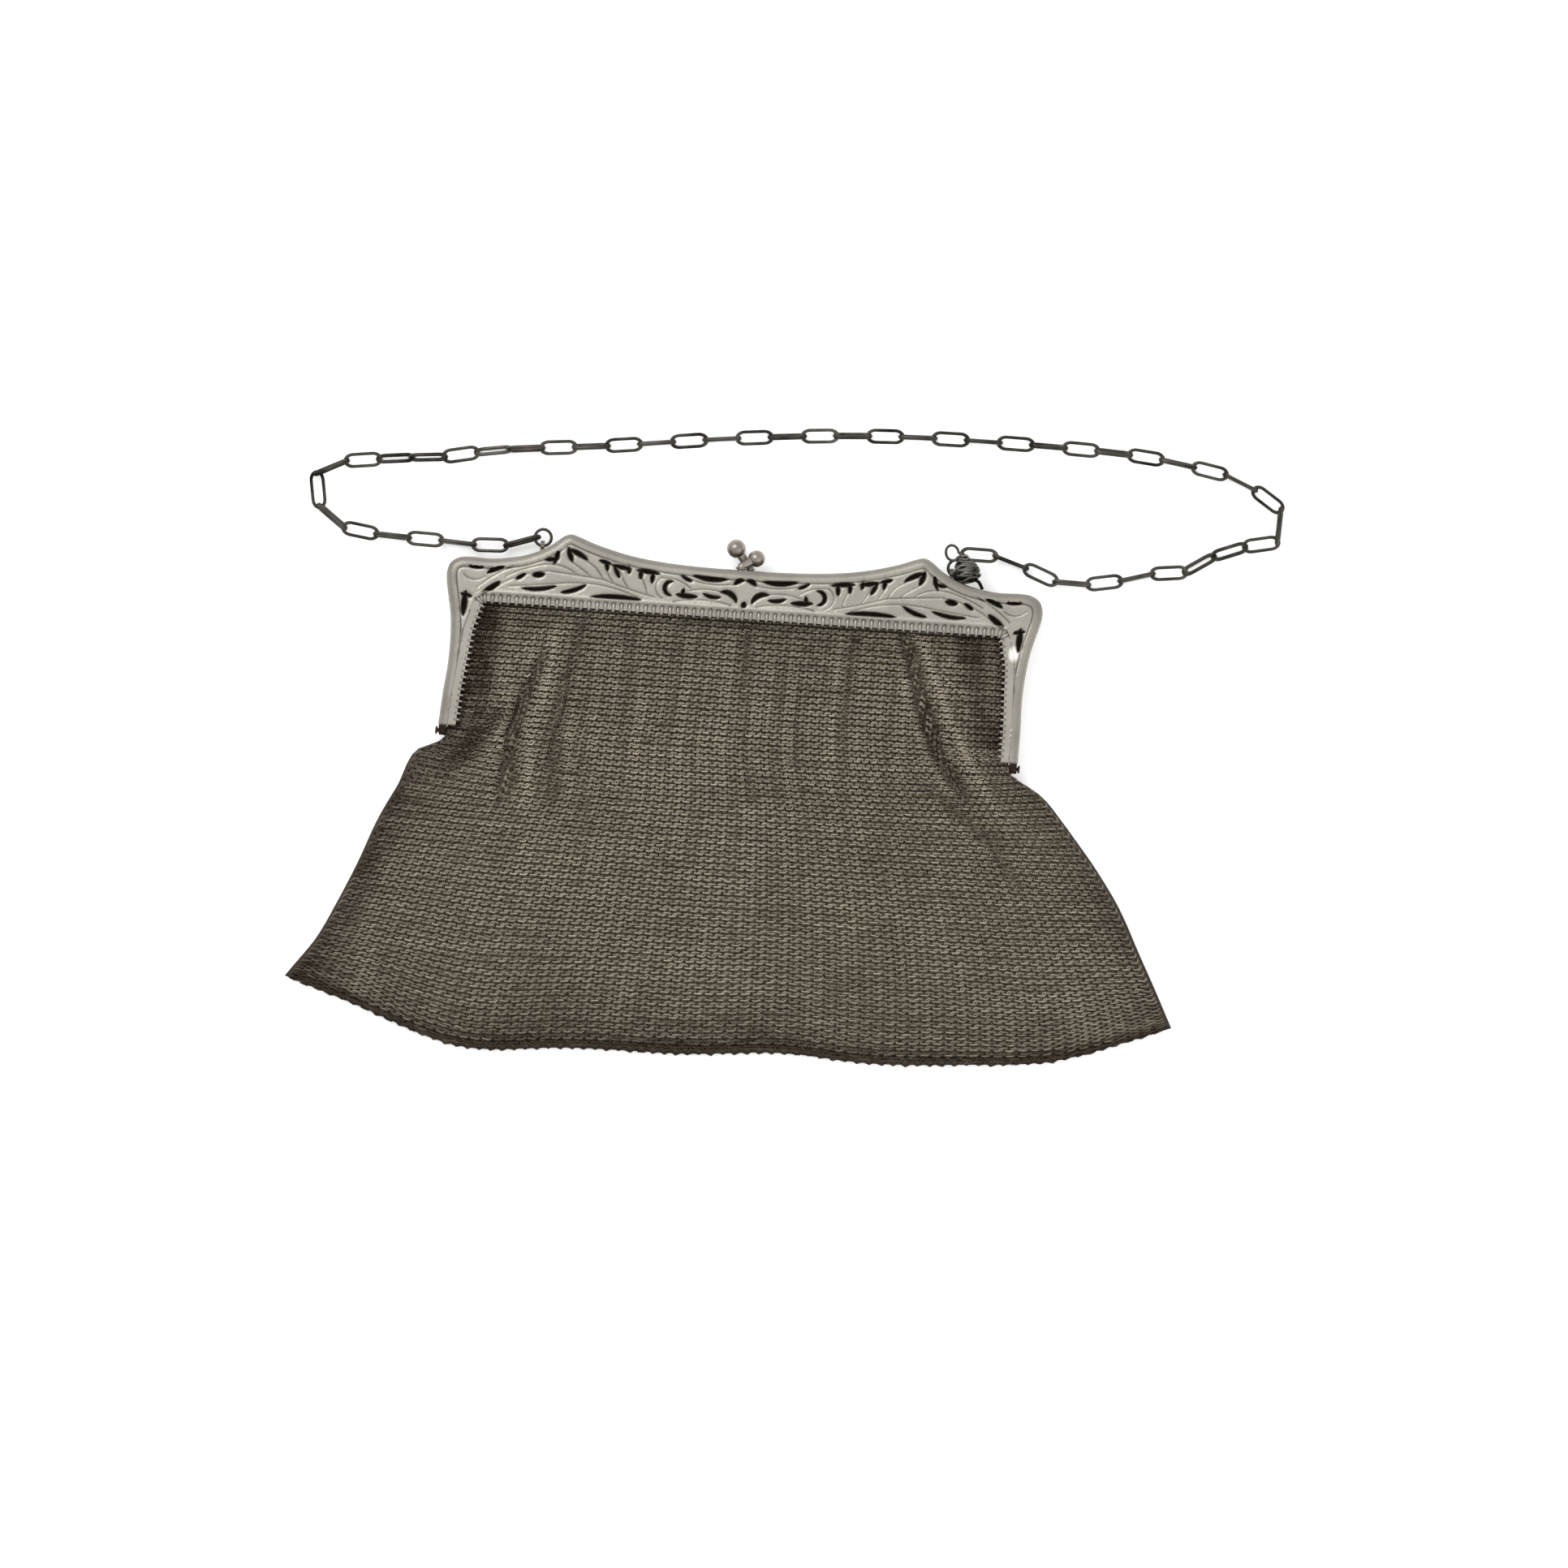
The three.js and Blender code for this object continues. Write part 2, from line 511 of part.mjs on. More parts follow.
function chainJoints() {
  const start = leftRing.clone().add(vector(-ringRadius + ringWire + linkWire / 2 + seatGap - jointReach, 0, 0));
  const end = knotCentre.clone().add(vector(jointReach + 0.5, knotRadius * 0.54, 0));
  const heights = Array.from({ length: linkCount + 1 }, (_, i) => Math.max(
    lowHeight, THREE.MathUtils.lerp(start.z, lowHeight, i / 2),
    THREE.MathUtils.lerp(end.z, lowHeight, (linkCount - i) / 2)));
  const walk = (bow) => {
    const curve = new THREE.CatmullRomCurve3([start, ...chainRoute.map(([x, y]) => {
      const chord = THREE.MathUtils.mapLinear(x, start.x, end.x, start.y, end.y);
      return vector(x, chord + bow * (y - chord), 0);
    }), end].map((place) => place.clone().setZ(0)), false, 'centripetal');
    const track = curve.getPoints(3000);
    const joints = [track[0]];
    for (const place of track) {
      const i = joints.length;
      if (i > linkCount) break;
      const step = Math.sqrt(pitch ** 2 - (heights[i] - heights[i - 1]) ** 2);
      const before = joints[i - 1];
      if (place.distanceTo(before) >= step) {
        joints.push(place.clone().sub(before).setLength(step).add(before));
      }
    }
    return joints;
  };
  let [low, high] = [0.4, 2.5];
  for (let i = 0; i < 24; i += 1) {
    const bow = (low + high) / 2;
    const joints = walk(bow);
    const short = joints.length <= linkCount;
    const past = short ? 0 : joints[linkCount].x - end.x;
    if (short || past < 0) low = bow;
    else high = bow;
  }
  return walk(high).map((joint, i) => joint.setZ(heights[i]));
}

// Directions of the corners of a link's half-round ends.
const linkTurns = [-90, -54, -18, 18, 54, 90];

// A link from joint to joint, with half-round ends, in the plane of its length and `across`.
function link(from, to, across) {
  const ahead = to.clone().sub(from).normalize();
  const radius = (linkWidth - linkWire) / 2;
  const ends = [[to, 1], [from, -1]];
  const path = ends.flatMap(([joint, way]) => {
    const centre = joint.clone().addScaledVector(ahead, way * (jointReach - radius));
    return linkTurns.map((turn) => centre.clone()
      .addScaledVector(ahead, way * radius * Math.cos(radians(turn)) / Math.cos(radians(linkTurns[3])))
      .addScaledVector(across, way * radius * Math.sin(radians(turn))));
  });
  return wire(path, linkWire / 2, 5, ahead.clone().cross(across).normalize(), true);
}

function chain() {
  const joints = chainJoints();
  return joined(joints.slice(1).map((joint, i) => {
    const ahead = joint.clone().sub(joints[i]).normalize();
    const flat = upward.clone().cross(ahead).normalize();
    const edgeOn = ahead.clone().cross(flat);
    const roll = radians((i % 2 ? 0 : 90) + between(chainTwist, i) + linkSway * Math.sin(2.4 * i));
    return link(joints[i], joint,
      flat.multiplyScalar(Math.cos(roll)).addScaledVector(edgeOn, Math.sin(roll)));
  }));
}

// Mesh bag: rows from the mouth down to the hem, each with its two ends, its heights and its waves.
const hingeHalf = armEndShare * halfWidth - armWidth / 2 - knuckleGap / 2 - knuckleLength
  - seatGap - pinHeadLength - seatGap - sideBulge;

function bagRows() {
  const fullness = mouthTop - flatBag;
  const row = (y, left, right, crown, side, waves, lift) => ({
    y, left, right, crown: flatBag + crown * fullness, side: flatBag + side * fullness, waves, lift,
  });
  const mouthY = armLength + mouthTuck;
  const mouthHalf = openingX(armLength * armRows[0][0]) + meshTuck - cornerRadius / 2;
  const rows = [row(mouthY, [-mouthHalf, mouthY], [mouthHalf, mouthY], 1, 1, 0, 'all')];
  armRows.forEach(([share, crown, side], i) => {
    const y = armLength * share;
    const half = i === armRows.length - 1 ? hingeHalf : openingX(y) + meshTuck;
    rows.push(row(y, [-half, y], [half, y], crown, side, 0, i === 0 ? 'all' : 'sides'));
  });
  const spread = hemWidth / 2 - hingeHalf;
  for (const [down, leftOut, leftDown, rightOut, rightDown, crown, side, waves] of lowerRows) {
    rows.push(row(-down * bagDrop,
      [-hingeHalf - leftOut * spread, -leftDown * bagDrop],
      [hingeHalf + rightOut * spread, -rightDown * bagDrop], crown, side, waves, 'none'));
  }
  return rows;
}

const bagY = (share) => share * (share > 0 ? armLength : bagDrop);

// Depth of the folds at a place: valleys with a lower ridge along each side.
function foldDepth(x, y) {
  return folds.reduce((depth, [x0, y0, x1, y1, width, dent]) => {
    const from = vector(x0 * halfWidth, bagY(y0), 0);
    const to = vector(x1 * halfWidth, bagY(y1), 0);
    const place = vector(x, y, 0);
    const line = new THREE.Line3(from, to);
    const along = line.closestPointToPointParameter(place, false);
    const beyond = Math.max(0, along - 1, -along) * line.distance();
    const away = line.closestPointToPoint(place, false, vector(0, 0, 0)).distanceTo(place);
    const breadth = width * frameDepth / 2;
    const fade = Math.exp(-((beyond / (2 * breadth)) ** 2));
    const valley = Math.exp(-((away / breadth) ** 2));
    const ridge = 0.35 * Math.exp(-(((away - 2 * breadth) / breadth) ** 2));
    return depth + dent * frameDepth * fade * (valley - ridge);
  }, 0);
}

// Place on the bag at `across`, from -1 to 1, in a row, on its front or its back.
function bagPlace(row, across, front) {
  const [endX, endY] = across < 0 ? row.left : row.right;
  const wave = hemWaves.reduce((sum, [middle, spread, drop]) => (
    sum - drop * bagDrop * Math.exp(-(((across - middle) / spread) ** 2))), 0);
  const edgeward = Math.abs(across) ** 3;
  const x = endX * Math.abs(across);
  const y = row.y + (endY - row.y) * edgeward + row.waves * wave * (1 - edgeward);
  if (!front) {
    const lifted = row.lift === 'all' || (row.lift === 'sides' && Math.abs(across) > 0.9);
    return vector(x, y, lifted ? mouthBottom : 0);
  }
  const height = row.crown + (row.side - row.crown) * edgeward;
  const z = Math.max(flatBag, height - foldDepth(x, y) * (1 - edgeward ** 4));
  const underFrame = row.lift === 'all' || (row.lift === 'sides' && Math.abs(across) > 0.93);
  return vector(x, y, underFrame ? Math.min(z, mouthTop) : z);
}

function meshBag() {
  const columns = 22;
  const fronts = Array.from({ length: columns + 1 }, (_, i) => {
    const across = 2 * i / columns - 1;
    return Math.sign(across) * Math.abs(across) ** 0.7;
  });
  const backs = [1, 0.93, 0.8, 0, -0.8, -0.93, -1];
  const rows = bagRows();
  // One ring of places round the bag: the front, the right side, the back and the left side.
  const ring = (row, last, inner) => {
    const sink = inner ? meshWall : 0;
    const narrow = (across) => {
      const reach = Math.abs(across < 0 ? row.left[0] : row.right[0]);
      return across * (1 - 1.4 * sink / reach);
    };
    const lower = last ? sink : 0;
    const front = fronts.map((at) => bagPlace(row, narrow(at), true).add(vector(0, lower, -sink)));
    const back = backs.map((at) => bagPlace(row, narrow(at), false).add(vector(0, lower, sink)));
    const side = (a, b, way) => a.clone().add(b).multiplyScalar(0.5).add(vector(way * sideBulge, 0, 0));
    return [...front, side(front.at(-1), back[0], 1), ...back, side(back.at(-1), front[0], -1)];
  };
  const outer = rows.map((row, i) => ring(row, i === rows.length - 1, false));
  const inner = rows.map((row, i) => ring(row, i === rows.length - 1, true));
  const count = outer[0].length;
  const points = [...outer, ...inner].flat();
  const innerStart = rows.length * count;
  const triangles = strip(innerStart, 0, count);
  for (let i = 1; i < rows.length; i += 1) {
    triangles.push(...strip((i - 1) * count, i * count, count));
    triangles.push(...strip(innerStart + i * count, innerStart + (i - 1) * count, count));
  }
  const cap = (loop, start, flipped) => {
    const flat = loop.map(({ x, z }) => new THREE.Vector2(x, z));
    return THREE.ShapeUtils.triangulateShape(flat, []).map(([a, b, c]) => (
      flipped ? [start + a, start + c, start + b] : [start + a, start + b, start + c]));
  };
  const hem = (rows.length - 1) * count;
  triangles.push(...cap(outer.at(-1), hem, true), ...cap(inner.at(-1), innerStart + hem, false));
  return meshOf(points, triangles);
}

// Materials and the finished group.
const metal = (color, roughness) => new THREE.MeshStandardMaterial({ color, roughness, metalness: 1 });
const silver = metal(0xb4b2ac, 0.38);
const darkSilver = metal(0x8e8b84, 0.42);
const meshSilver = metal(0x6b655a, 0.5);
const chainSilver = metal(0x5c5a56, 0.4);
const hingeMetal = metal(0x4a3a30, 0.55);

const purse = new THREE.Group();
const add = (name, geometry, material) => {
  const piece = new THREE.Mesh(geometry, material);
  piece.name = name;
  purse.add(piece);
};

add('frame_front', geometryOf(frameFront()), silver);
add('frame_back', geometryOf(frameBack()), silver);
add('mesh_bag', meshBag(), meshSilver);
add('hinge_pin_left', geometryOf(hingePin(-1)), hingeMetal);
add('hinge_pin_right', geometryOf(hingePin(1)), hingeMetal);
add('clasp_knob_front', geometryOf(claspKnob(frontFoot, frontBall, frontBallRadius)), darkSilver);
add('clasp_knob_back', geometryOf(claspKnob(backFoot, backBall, backBallRadius)), darkSilver);
add('chain_ring_left', geometryOf(ringLoop(leftRing, ringRadius, ringWire, 14)), chainSilver);
add('chain_ring_right', geometryOf(ringLoop(rightRing, ringRadius, ringWire, 14)), chainSilver);
add('wire_knot', geometryOf(wireKnot()), chainSilver);
add('chain', geometryOf(chain()), chainSilver);

// The origin is the middle of the purse's box, on the surface that it lies on.
const box = new THREE.Box3().setFromObject(purse);
const middle = box.getCenter(vector(0, 0, 0));
purse.position.set(-middle.x, -middle.y, -box.min.z);

export default purse;
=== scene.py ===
import math
import bpy
import numpy as np
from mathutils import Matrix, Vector, kdtree
from mathutils.geometry import delaunay_2d_cdt


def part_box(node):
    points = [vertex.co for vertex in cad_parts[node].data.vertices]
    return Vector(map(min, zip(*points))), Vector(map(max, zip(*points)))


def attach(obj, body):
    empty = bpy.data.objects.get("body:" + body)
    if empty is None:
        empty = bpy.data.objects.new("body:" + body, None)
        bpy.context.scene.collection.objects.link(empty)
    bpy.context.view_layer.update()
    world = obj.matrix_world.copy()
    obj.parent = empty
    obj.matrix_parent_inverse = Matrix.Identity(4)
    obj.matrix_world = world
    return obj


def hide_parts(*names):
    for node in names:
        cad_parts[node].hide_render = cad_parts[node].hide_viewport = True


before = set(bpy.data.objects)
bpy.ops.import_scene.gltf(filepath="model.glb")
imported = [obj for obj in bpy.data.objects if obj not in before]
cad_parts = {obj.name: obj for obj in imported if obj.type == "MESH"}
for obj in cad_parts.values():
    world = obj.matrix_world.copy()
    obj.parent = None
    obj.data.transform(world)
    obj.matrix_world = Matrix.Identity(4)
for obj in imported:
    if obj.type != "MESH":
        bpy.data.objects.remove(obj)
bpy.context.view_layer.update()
mm = 0.001
dice = np.random.default_rng(7)

# Every length below is in millimetres in the purse's own layout: x from the middle of the rail, y from the
# hinge axis up to the clasp, z from the surface it lies on. inMetres turns it into the frame's metres.
purse = {
    "armLength": 33.3,  # hinge axis to the sewing edge
    "crestHeight": 18.4,  # sewing edge to the peaks
    "armWidth": 4.4,
    "bagDrop": 78,  # hinge axis to the middle of the hem
    "meshTuck": 1.2,  # mesh behind the frame
    "mouthTuck": 1.6,
    "meshWall": 1.3,
    "hemGap": 0.5,
    "seatGap": 0.3,
    "plate": 1.1,
}
frontLow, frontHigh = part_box("frame_front")
halfWidth = (frontHigh[0] - frontLow[0]) / 2 / mm
railMiddleX = (frontHigh[0] + frontLow[0]) / 2
hingeY = frontHigh[1] - (purse["armLength"] + purse["crestHeight"]) * mm
topZ = frontHigh[2] / mm


def inMetres(points):
    spots = np.asarray(points, dtype=float) * mm
    return spots + np.array([railMiddleX, hingeY, 0.0])


def inLayout(point):
    return np.array([(point[0] - railMiddleX) / mm, (point[1] - hingeY) / mm, point[2] / mm])


def middleOf(node):
    low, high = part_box(node)
    return inLayout([(a + b) / 2 for a, b in zip(low, high)])


# As it lies, the frame's arms lean a little to the left, and so does the mesh beside them.
armLean = {"reach": 1.7, "from": 38, "fade": 14}


def leaned(points):
    points = np.array(points, dtype=float)
    y = points[..., 1]
    share = np.clip((armLean["from"] - y) / armLean["from"], 0, 1) * np.clip(1 + y / armLean["fade"], 0, 1)
    points[..., 0] -= armLean["reach"] * share
    return points


# The camera, floor and light come first, so that every later stage can be looked at.

view = {"lens": 200, "height": 2.213, "turn": 3.9, "targetX": 13.2, "targetY": -7.7}

cameraData = bpy.data.cameras.new("photoCamera")
cameraData.lens = view["lens"]
cameraData.clip_start = 0.1
camera = bpy.data.objects.new("photoCamera", cameraData)
target = inMetres([view["targetX"], view["targetY"], 0])
camera.location = Vector(target) + Vector((0, 0, view["height"]))
camera.rotation_euler = (0, 0, math.radians(view["turn"]))
bpy.context.scene.collection.objects.link(camera)
bpy.context.scene.camera = camera
bpy.context.scene.view_settings.view_transform = "Standard"

studio = {
    "floor": (0.92, 0.92, 0.92), "floorGlow": 0.35, "floorHalf": 3, "floorDrop": 0.0002, "world": 0.85,
    "keyPower": 5.5, "keySize": 0.7, "keyAt": (-0.45, 0.55, 0.9),
    "fillPower": 2.2, "fillSize": 0.9, "fillAt": (0.6, -0.35, 0.9),
}


def areaLamp(name, spot, power, size):
    lamp = bpy.data.lights.new(name, "AREA")
    lamp.energy = power
    lamp.size = size
    thing = bpy.data.objects.new(name, lamp)
    thing.location = spot
    thing.rotation_euler = (-Vector(spot)).to_track_quat("-Z", "Y").to_euler()
    bpy.context.scene.collection.objects.link(thing)


areaLamp("keyLamp", studio["keyAt"], studio["keyPower"], studio["keySize"])
areaLamp("fillLamp", studio["fillAt"], studio["fillPower"], studio["fillSize"])
world = bpy.data.worlds.new("studioWorld")
bpy.context.scene.world = world
world.use_nodes = True
world.node_tree.nodes["Background"].inputs["Color"].default_value = (1, 1, 1, 1)
world.node_tree.nodes["Background"].inputs["Strength"].default_value = studio["world"]

floorMesh = bpy.data.meshes.new("floor")
floorCorners = [(x * studio["floorHalf"], y * studio["floorHalf"], 0)
                for x, y in ((-1, -1), (1, -1), (1, 1), (-1, 1))]
floorMesh.from_pydata(floorCorners, [], [(0, 1, 2, 3)])
floor = bpy.data.objects.new("floor", floorMesh)
floor.location.z = -studio["floorDrop"]
bpy.context.scene.collection.objects.link(floor)
floorMaterial = bpy.data.materials.new("paleFloor")
floorMaterial.use_nodes = True
floorShader = floorMaterial.node_tree.nodes["Principled BSDF"]
floorShader.inputs["Base Color"].default_value = (*studio["floor"], 1)
floorShader.inputs["Roughness"].default_value = 0.9
floorShader.inputs["Emission Color"].default_value = (1, 1, 1, 1)
floorShader.inputs["Emission Strength"].default_value = studio["floorGlow"]
floorMesh.materials.append(floorMaterial)
print("stage: camera, floor and light")


# Materials.

def newGroup(name, inputs, outputs):
    group = bpy.data.node_groups.new(name, "ShaderNodeTree")
    for label, kind, value in inputs:
        socket = group.interface.new_socket(label, in_out="INPUT", socket_type=kind)
        socket.default_value = value
    for label, kind in outputs:
        group.interface.new_socket(label, in_out="OUTPUT", socket_type=kind)
    return group, group.nodes.new("NodeGroupInput"), group.nodes.new("NodeGroupOutput")


def mathNode(tree, operation, first, second=0.0, clamp=False):
    node = tree.nodes.new("ShaderNodeMath")
    node.operation = operation
    node.use_clamp = clamp
    for socket, value in zip(node.inputs, (first, second)):
        if isinstance(value, (int, float)):
            socket.default_value = value
        else:
            tree.links.new(value, socket)
    return node.outputs[0]


def mixColour(tree, mask, first, second):
    node = tree.nodes.new("ShaderNodeMix")
    node.data_type = "RGBA"
    tree.links.new(mask, node.inputs["Factor"])
    for socket, value in zip(node.inputs[6:8], (first, second)):
        if isinstance(value, tuple):
            socket.default_value = value
        else:
            tree.links.new(value, socket)
    return node.outputs[2]


def noiseNode(tree, scale, detail, rough=0.6, stretch=None):
    coordinates = tree.nodes.new("ShaderNodeTexCoord").outputs["Object"]
    if stretch:
        mapping = tree.nodes.new("ShaderNodeMapping")
        mapping.inputs["Scale"].default_value = stretch
        tree.links.new(coordinates, mapping.inputs["Vector"])
        coordinates = mapping.outputs["Vector"]
    noise = tree.nodes.new("ShaderNodeTexNoise")
    tree.links.new(coordinates, noise.inputs["Vector"])
    if isinstance(scale, (int, float)):
        noise.inputs["Scale"].default_value = scale
    else:
        tree.links.new(scale, noise.inputs["Scale"])
    noise.inputs["Detail"].default_value = detail
    noise.inputs["Roughness"].default_value = rough
    return noise.outputs["Fac"]


def contrast(tree, value, low, high):
    node = tree.nodes.new("ShaderNodeMapRange")
    node.inputs["From Min"].default_value = low
    node.inputs["From Max"].default_value = high
    tree.links.new(value, node.inputs["Value"])
    return node.outputs["Result"]


finish = {
    "cloudRange": (0.38, 0.72), "scratchScale": 2400, "scratchStretch": (1, 0.12, 1),
    "scratchRange": (0.45, 0.7), "dentScale": 420, "bumpHeight": 0.0004,
}

# Patina and painted shade: clouds of tarnish over clean metal, darker still where the piece's "shade"
# attribute is high; that attribute carries both tarnish in hollows and painted shade.
patinaAndShade, patinaIn, patinaOut = newGroup("patinaAndShade", [
    ("Clean", "NodeSocketColor", (0.7, 0.68, 0.64, 1)),
    ("Tarnish And Shade", "NodeSocketColor", (0.2, 0.17, 0.13, 1)),
    ("Cloud Scale", "NodeSocketFloat", 90.0),
    ("Clouds", "NodeSocketFloat", 0.5),
    ("Depth", "NodeSocketFloat", 1.0),
], [("Color", "NodeSocketColor"), ("Mask", "NodeSocketFloat")])
shadeOf = patinaAndShade.nodes.new("ShaderNodeAttribute")
shadeOf.attribute_name = "shade"
clouds = contrast(patinaAndShade, noiseNode(patinaAndShade, patinaIn.outputs["Cloud Scale"], 5), *finish["cloudRange"])
cloudy = mathNode(patinaAndShade, "MULTIPLY", clouds, patinaIn.outputs["Clouds"])
deep = mathNode(patinaAndShade, "MULTIPLY", shadeOf.outputs["Fac"], patinaIn.outputs["Depth"])
mask = mathNode(patinaAndShade, "ADD", cloudy, deep, clamp=True)
patinaAndShade.links.new(mixColour(patinaAndShade, mask, patinaIn.outputs["Clean"], patinaIn.outputs["Tarnish And Shade"]),
                 patinaOut.inputs["Color"])
patinaAndShade.links.new(mask, patinaOut.inputs["Mask"])

# Handling: fine scratches and small dents of worn metal, as a height.
handling, handlingIn, handlingOut = newGroup("handling", [
    ("Scratches", "NodeSocketFloat", 0.4), ("Dents", "NodeSocketFloat", 0.6),
], [("Height", "NodeSocketFloat"), ("Mask", "NodeSocketFloat")])
scratchNoise = noiseNode(handling, finish["scratchScale"], 3, 0.7, finish["scratchStretch"])
scratch = contrast(handling, scratchNoise, *finish["scratchRange"])
dent = noiseNode(handling, finish["dentScale"], 2)
handling.links.new(mathNode(handling, "ADD",
                            mathNode(handling, "MULTIPLY", scratch, handlingIn.outputs["Scratches"]),
                            mathNode(handling, "MULTIPLY", dent, handlingIn.outputs["Dents"])),
                   handlingOut.inputs["Height"])
handling.links.new(scratch, handlingOut.inputs["Mask"])


def placeGroup(tree, group, values):
    node = tree.nodes.new("ShaderNodeGroup")
    node.node_tree = group
    for label, value in values.items():
        node.inputs[label].default_value = value
    return node


def metal(name, clean, tarnishAndShade, roughLow, roughHigh, clouds=0.4, cloudScale=90, depth=1.0,
          scratches=0.4, dents=0.6, bump=0.12, hinge=None):
    material = bpy.data.materials.new(name)
    material.use_nodes = True
    tree = material.node_tree
    shader = tree.nodes["Principled BSDF"]
    tone = placeGroup(tree, patinaAndShade, {"Clean": (*clean, 1), "Tarnish And Shade": (*tarnishAndShade, 1),
                                     "Cloud Scale": cloudScale, "Clouds": clouds, "Depth": depth})
    wear = placeGroup(tree, handling, {"Scratches": scratches, "Dents": dents})
    colour = tone.outputs["Color"]
    if hinge:
        coordinates = tree.nodes.new("ShaderNodeTexCoord")
        split = tree.nodes.new("ShaderNodeSeparateXYZ")
        tree.links.new(coordinates.outputs["Object"], split.inputs[0])
        below = contrast(tree, split.outputs["Y"], hinge["above"], hinge["below"])
        colour = mixColour(tree, below, colour, (*hinge["colour"], 1))
    tree.links.new(colour, shader.inputs["Base Color"])
    rough = tree.nodes.new("ShaderNodeMapRange")
    rough.inputs["To Min"].default_value = roughLow
    rough.inputs["To Max"].default_value = roughHigh
    tree.links.new(mathNode(tree, "MAXIMUM", tone.outputs["Mask"],
                            mathNode(tree, "MULTIPLY", wear.outputs["Mask"], 0.5)), rough.inputs["Value"])
    tree.links.new(rough.outputs["Result"], shader.inputs["Roughness"])
    shader.inputs["Metallic"].default_value = 1
    bumpNode = tree.nodes.new("ShaderNodeBump")
    bumpNode.inputs["Strength"].default_value = bump
    bumpNode.inputs["Distance"].default_value = finish["bumpHeight"]
    tree.links.new(wear.outputs["Height"], bumpNode.inputs["Height"])
    tree.links.new(bumpNode.outputs["Normal"], shader.inputs["Normal"])
    return material


# A painted highlight: a bright, faintly glowing spot on the right arm's flange; edge holds where it starts
# and is full, in radii.
paintedHighlight = {"at": (68.9, 29, 0), "radius": (1.4, 2.2), "edge": (1.1, 0.4), "glow": 0.12,
          "colour": (1, 0.97, 0.9, 1), "glowColour": (1, 0.96, 0.88, 1)}


def paintedHighlightSpot(material):
    spot = inMetres(paintedHighlight["at"])
    radius = [size * mm for size in paintedHighlight["radius"]]
    tree = material.node_tree
    shader = tree.nodes["Principled BSDF"]
    coordinates = tree.nodes.new("ShaderNodeTexCoord")
    stretch = tree.nodes.new("ShaderNodeMapping")
    stretch.inputs["Scale"].default_value = (1 / radius[0], 1 / radius[1], 0)
    stretch.inputs["Location"].default_value = (-spot[0] / radius[0], -spot[1] / radius[1], 0)
    tree.links.new(coordinates.outputs["Object"], stretch.inputs["Vector"])
    length = tree.nodes.new("ShaderNodeVectorMath")
    length.operation = "LENGTH"
    tree.links.new(stretch.outputs["Vector"], length.inputs[0])
    highlightMask = contrast(tree, length.outputs["Value"], *paintedHighlight["edge"])
    # Painted highlight: a near-white colour and a faint glow are mixed in over the spot.
    for label, bright in (("Base Color", paintedHighlight["colour"]), ("Emission Color", paintedHighlight["glowColour"])):
        old = shader.inputs[label].links[0].from_socket if shader.inputs[label].links else (0, 0, 0, 1)
        tree.links.new(mixColour(tree, highlightMask, old, bright), shader.inputs[label])
    shader.inputs["Emission Strength"].default_value = paintedHighlight["glow"]


# Painted shade: the floor of the back half, under the front plate, is coloured dark where it is seen through
# the openings.
backFloorShade = {"below": 0.003, "fade": 0.0002, "facing": (0.3, 0.6), "colour": (0.085, 0.071, 0.054, 1)}


def paintedShadeInside(material):
    tree = material.node_tree
    shader = tree.nodes["Principled BSDF"]
    geometry = tree.nodes.new("ShaderNodeNewGeometry")
    facing = tree.nodes.new("ShaderNodeSeparateXYZ")
    tree.links.new(geometry.outputs["Normal"], facing.inputs[0])
    coordinates = tree.nodes.new("ShaderNodeTexCoord")
    place = tree.nodes.new("ShaderNodeSeparateXYZ")
    tree.links.new(coordinates.outputs["Object"], place.inputs[0])
    below = contrast(tree, place.outputs["Z"], backFloorShade["below"] + backFloorShade["fade"], backFloorShade["below"])
    shadedFloorMask = mathNode(tree, "MULTIPLY", contrast(tree, facing.outputs["Z"], *backFloorShade["facing"]), below)
    old = shader.inputs["Base Color"].links[0].from_socket
    tree.links.new(mixColour(tree, shadedFloorMask, old, backFloorShade["colour"]), shader.inputs["Base Color"])


hingeBrown = {"above": hingeY + 1.9 * mm, "below": hingeY + 1.2 * mm, "colour": (0.035, 0.024, 0.018)}
frameSilver = metal("frameSilver", (0.385, 0.365, 0.318), (0.045, 0.036, 0.026), 0.4, 0.6, clouds=0.2,
                    depth=0.95, hinge=hingeBrown)
paintedHighlightSpot(frameSilver)
backSilver = metal("backSilver", (0.2, 0.188, 0.16), (0.045, 0.036, 0.026), 0.4, 0.6, clouds=0.3)
# Painted shade on the back half's floor, seen through the openings.
paintedShadeInside(backSilver)
meshMetal = metal("meshMetal", (0.375, 0.333, 0.262), (0.06, 0.045, 0.031), 0.4, 0.62, clouds=0.2,
                  cloudScale=45, depth=1.0, scratches=0, dents=0.3, bump=0.05)
chainMetal = metal("chainMetal", (0.1, 0.092, 0.079), (0.012, 0.01, 0.008), 0.28, 0.5, clouds=0.7,
                   cloudScale=160)
knotMetal = metal("knotMetal", (0.2, 0.19, 0.17), (0.016, 0.013, 0.01), 0.32, 0.55, clouds=0.55,
                  cloudScale=300)
claspMetal = metal("claspMetal", (0.37, 0.34, 0.30), (0.1, 0.08, 0.06), 0.24, 0.5, clouds=0.5,
                   cloudScale=260)
hingeMetal = metal("hingeMetal", (0.05, 0.036, 0.028), (0.012, 0.009, 0.007), 0.4, 0.7, clouds=0.7,
                   cloudScale=420)

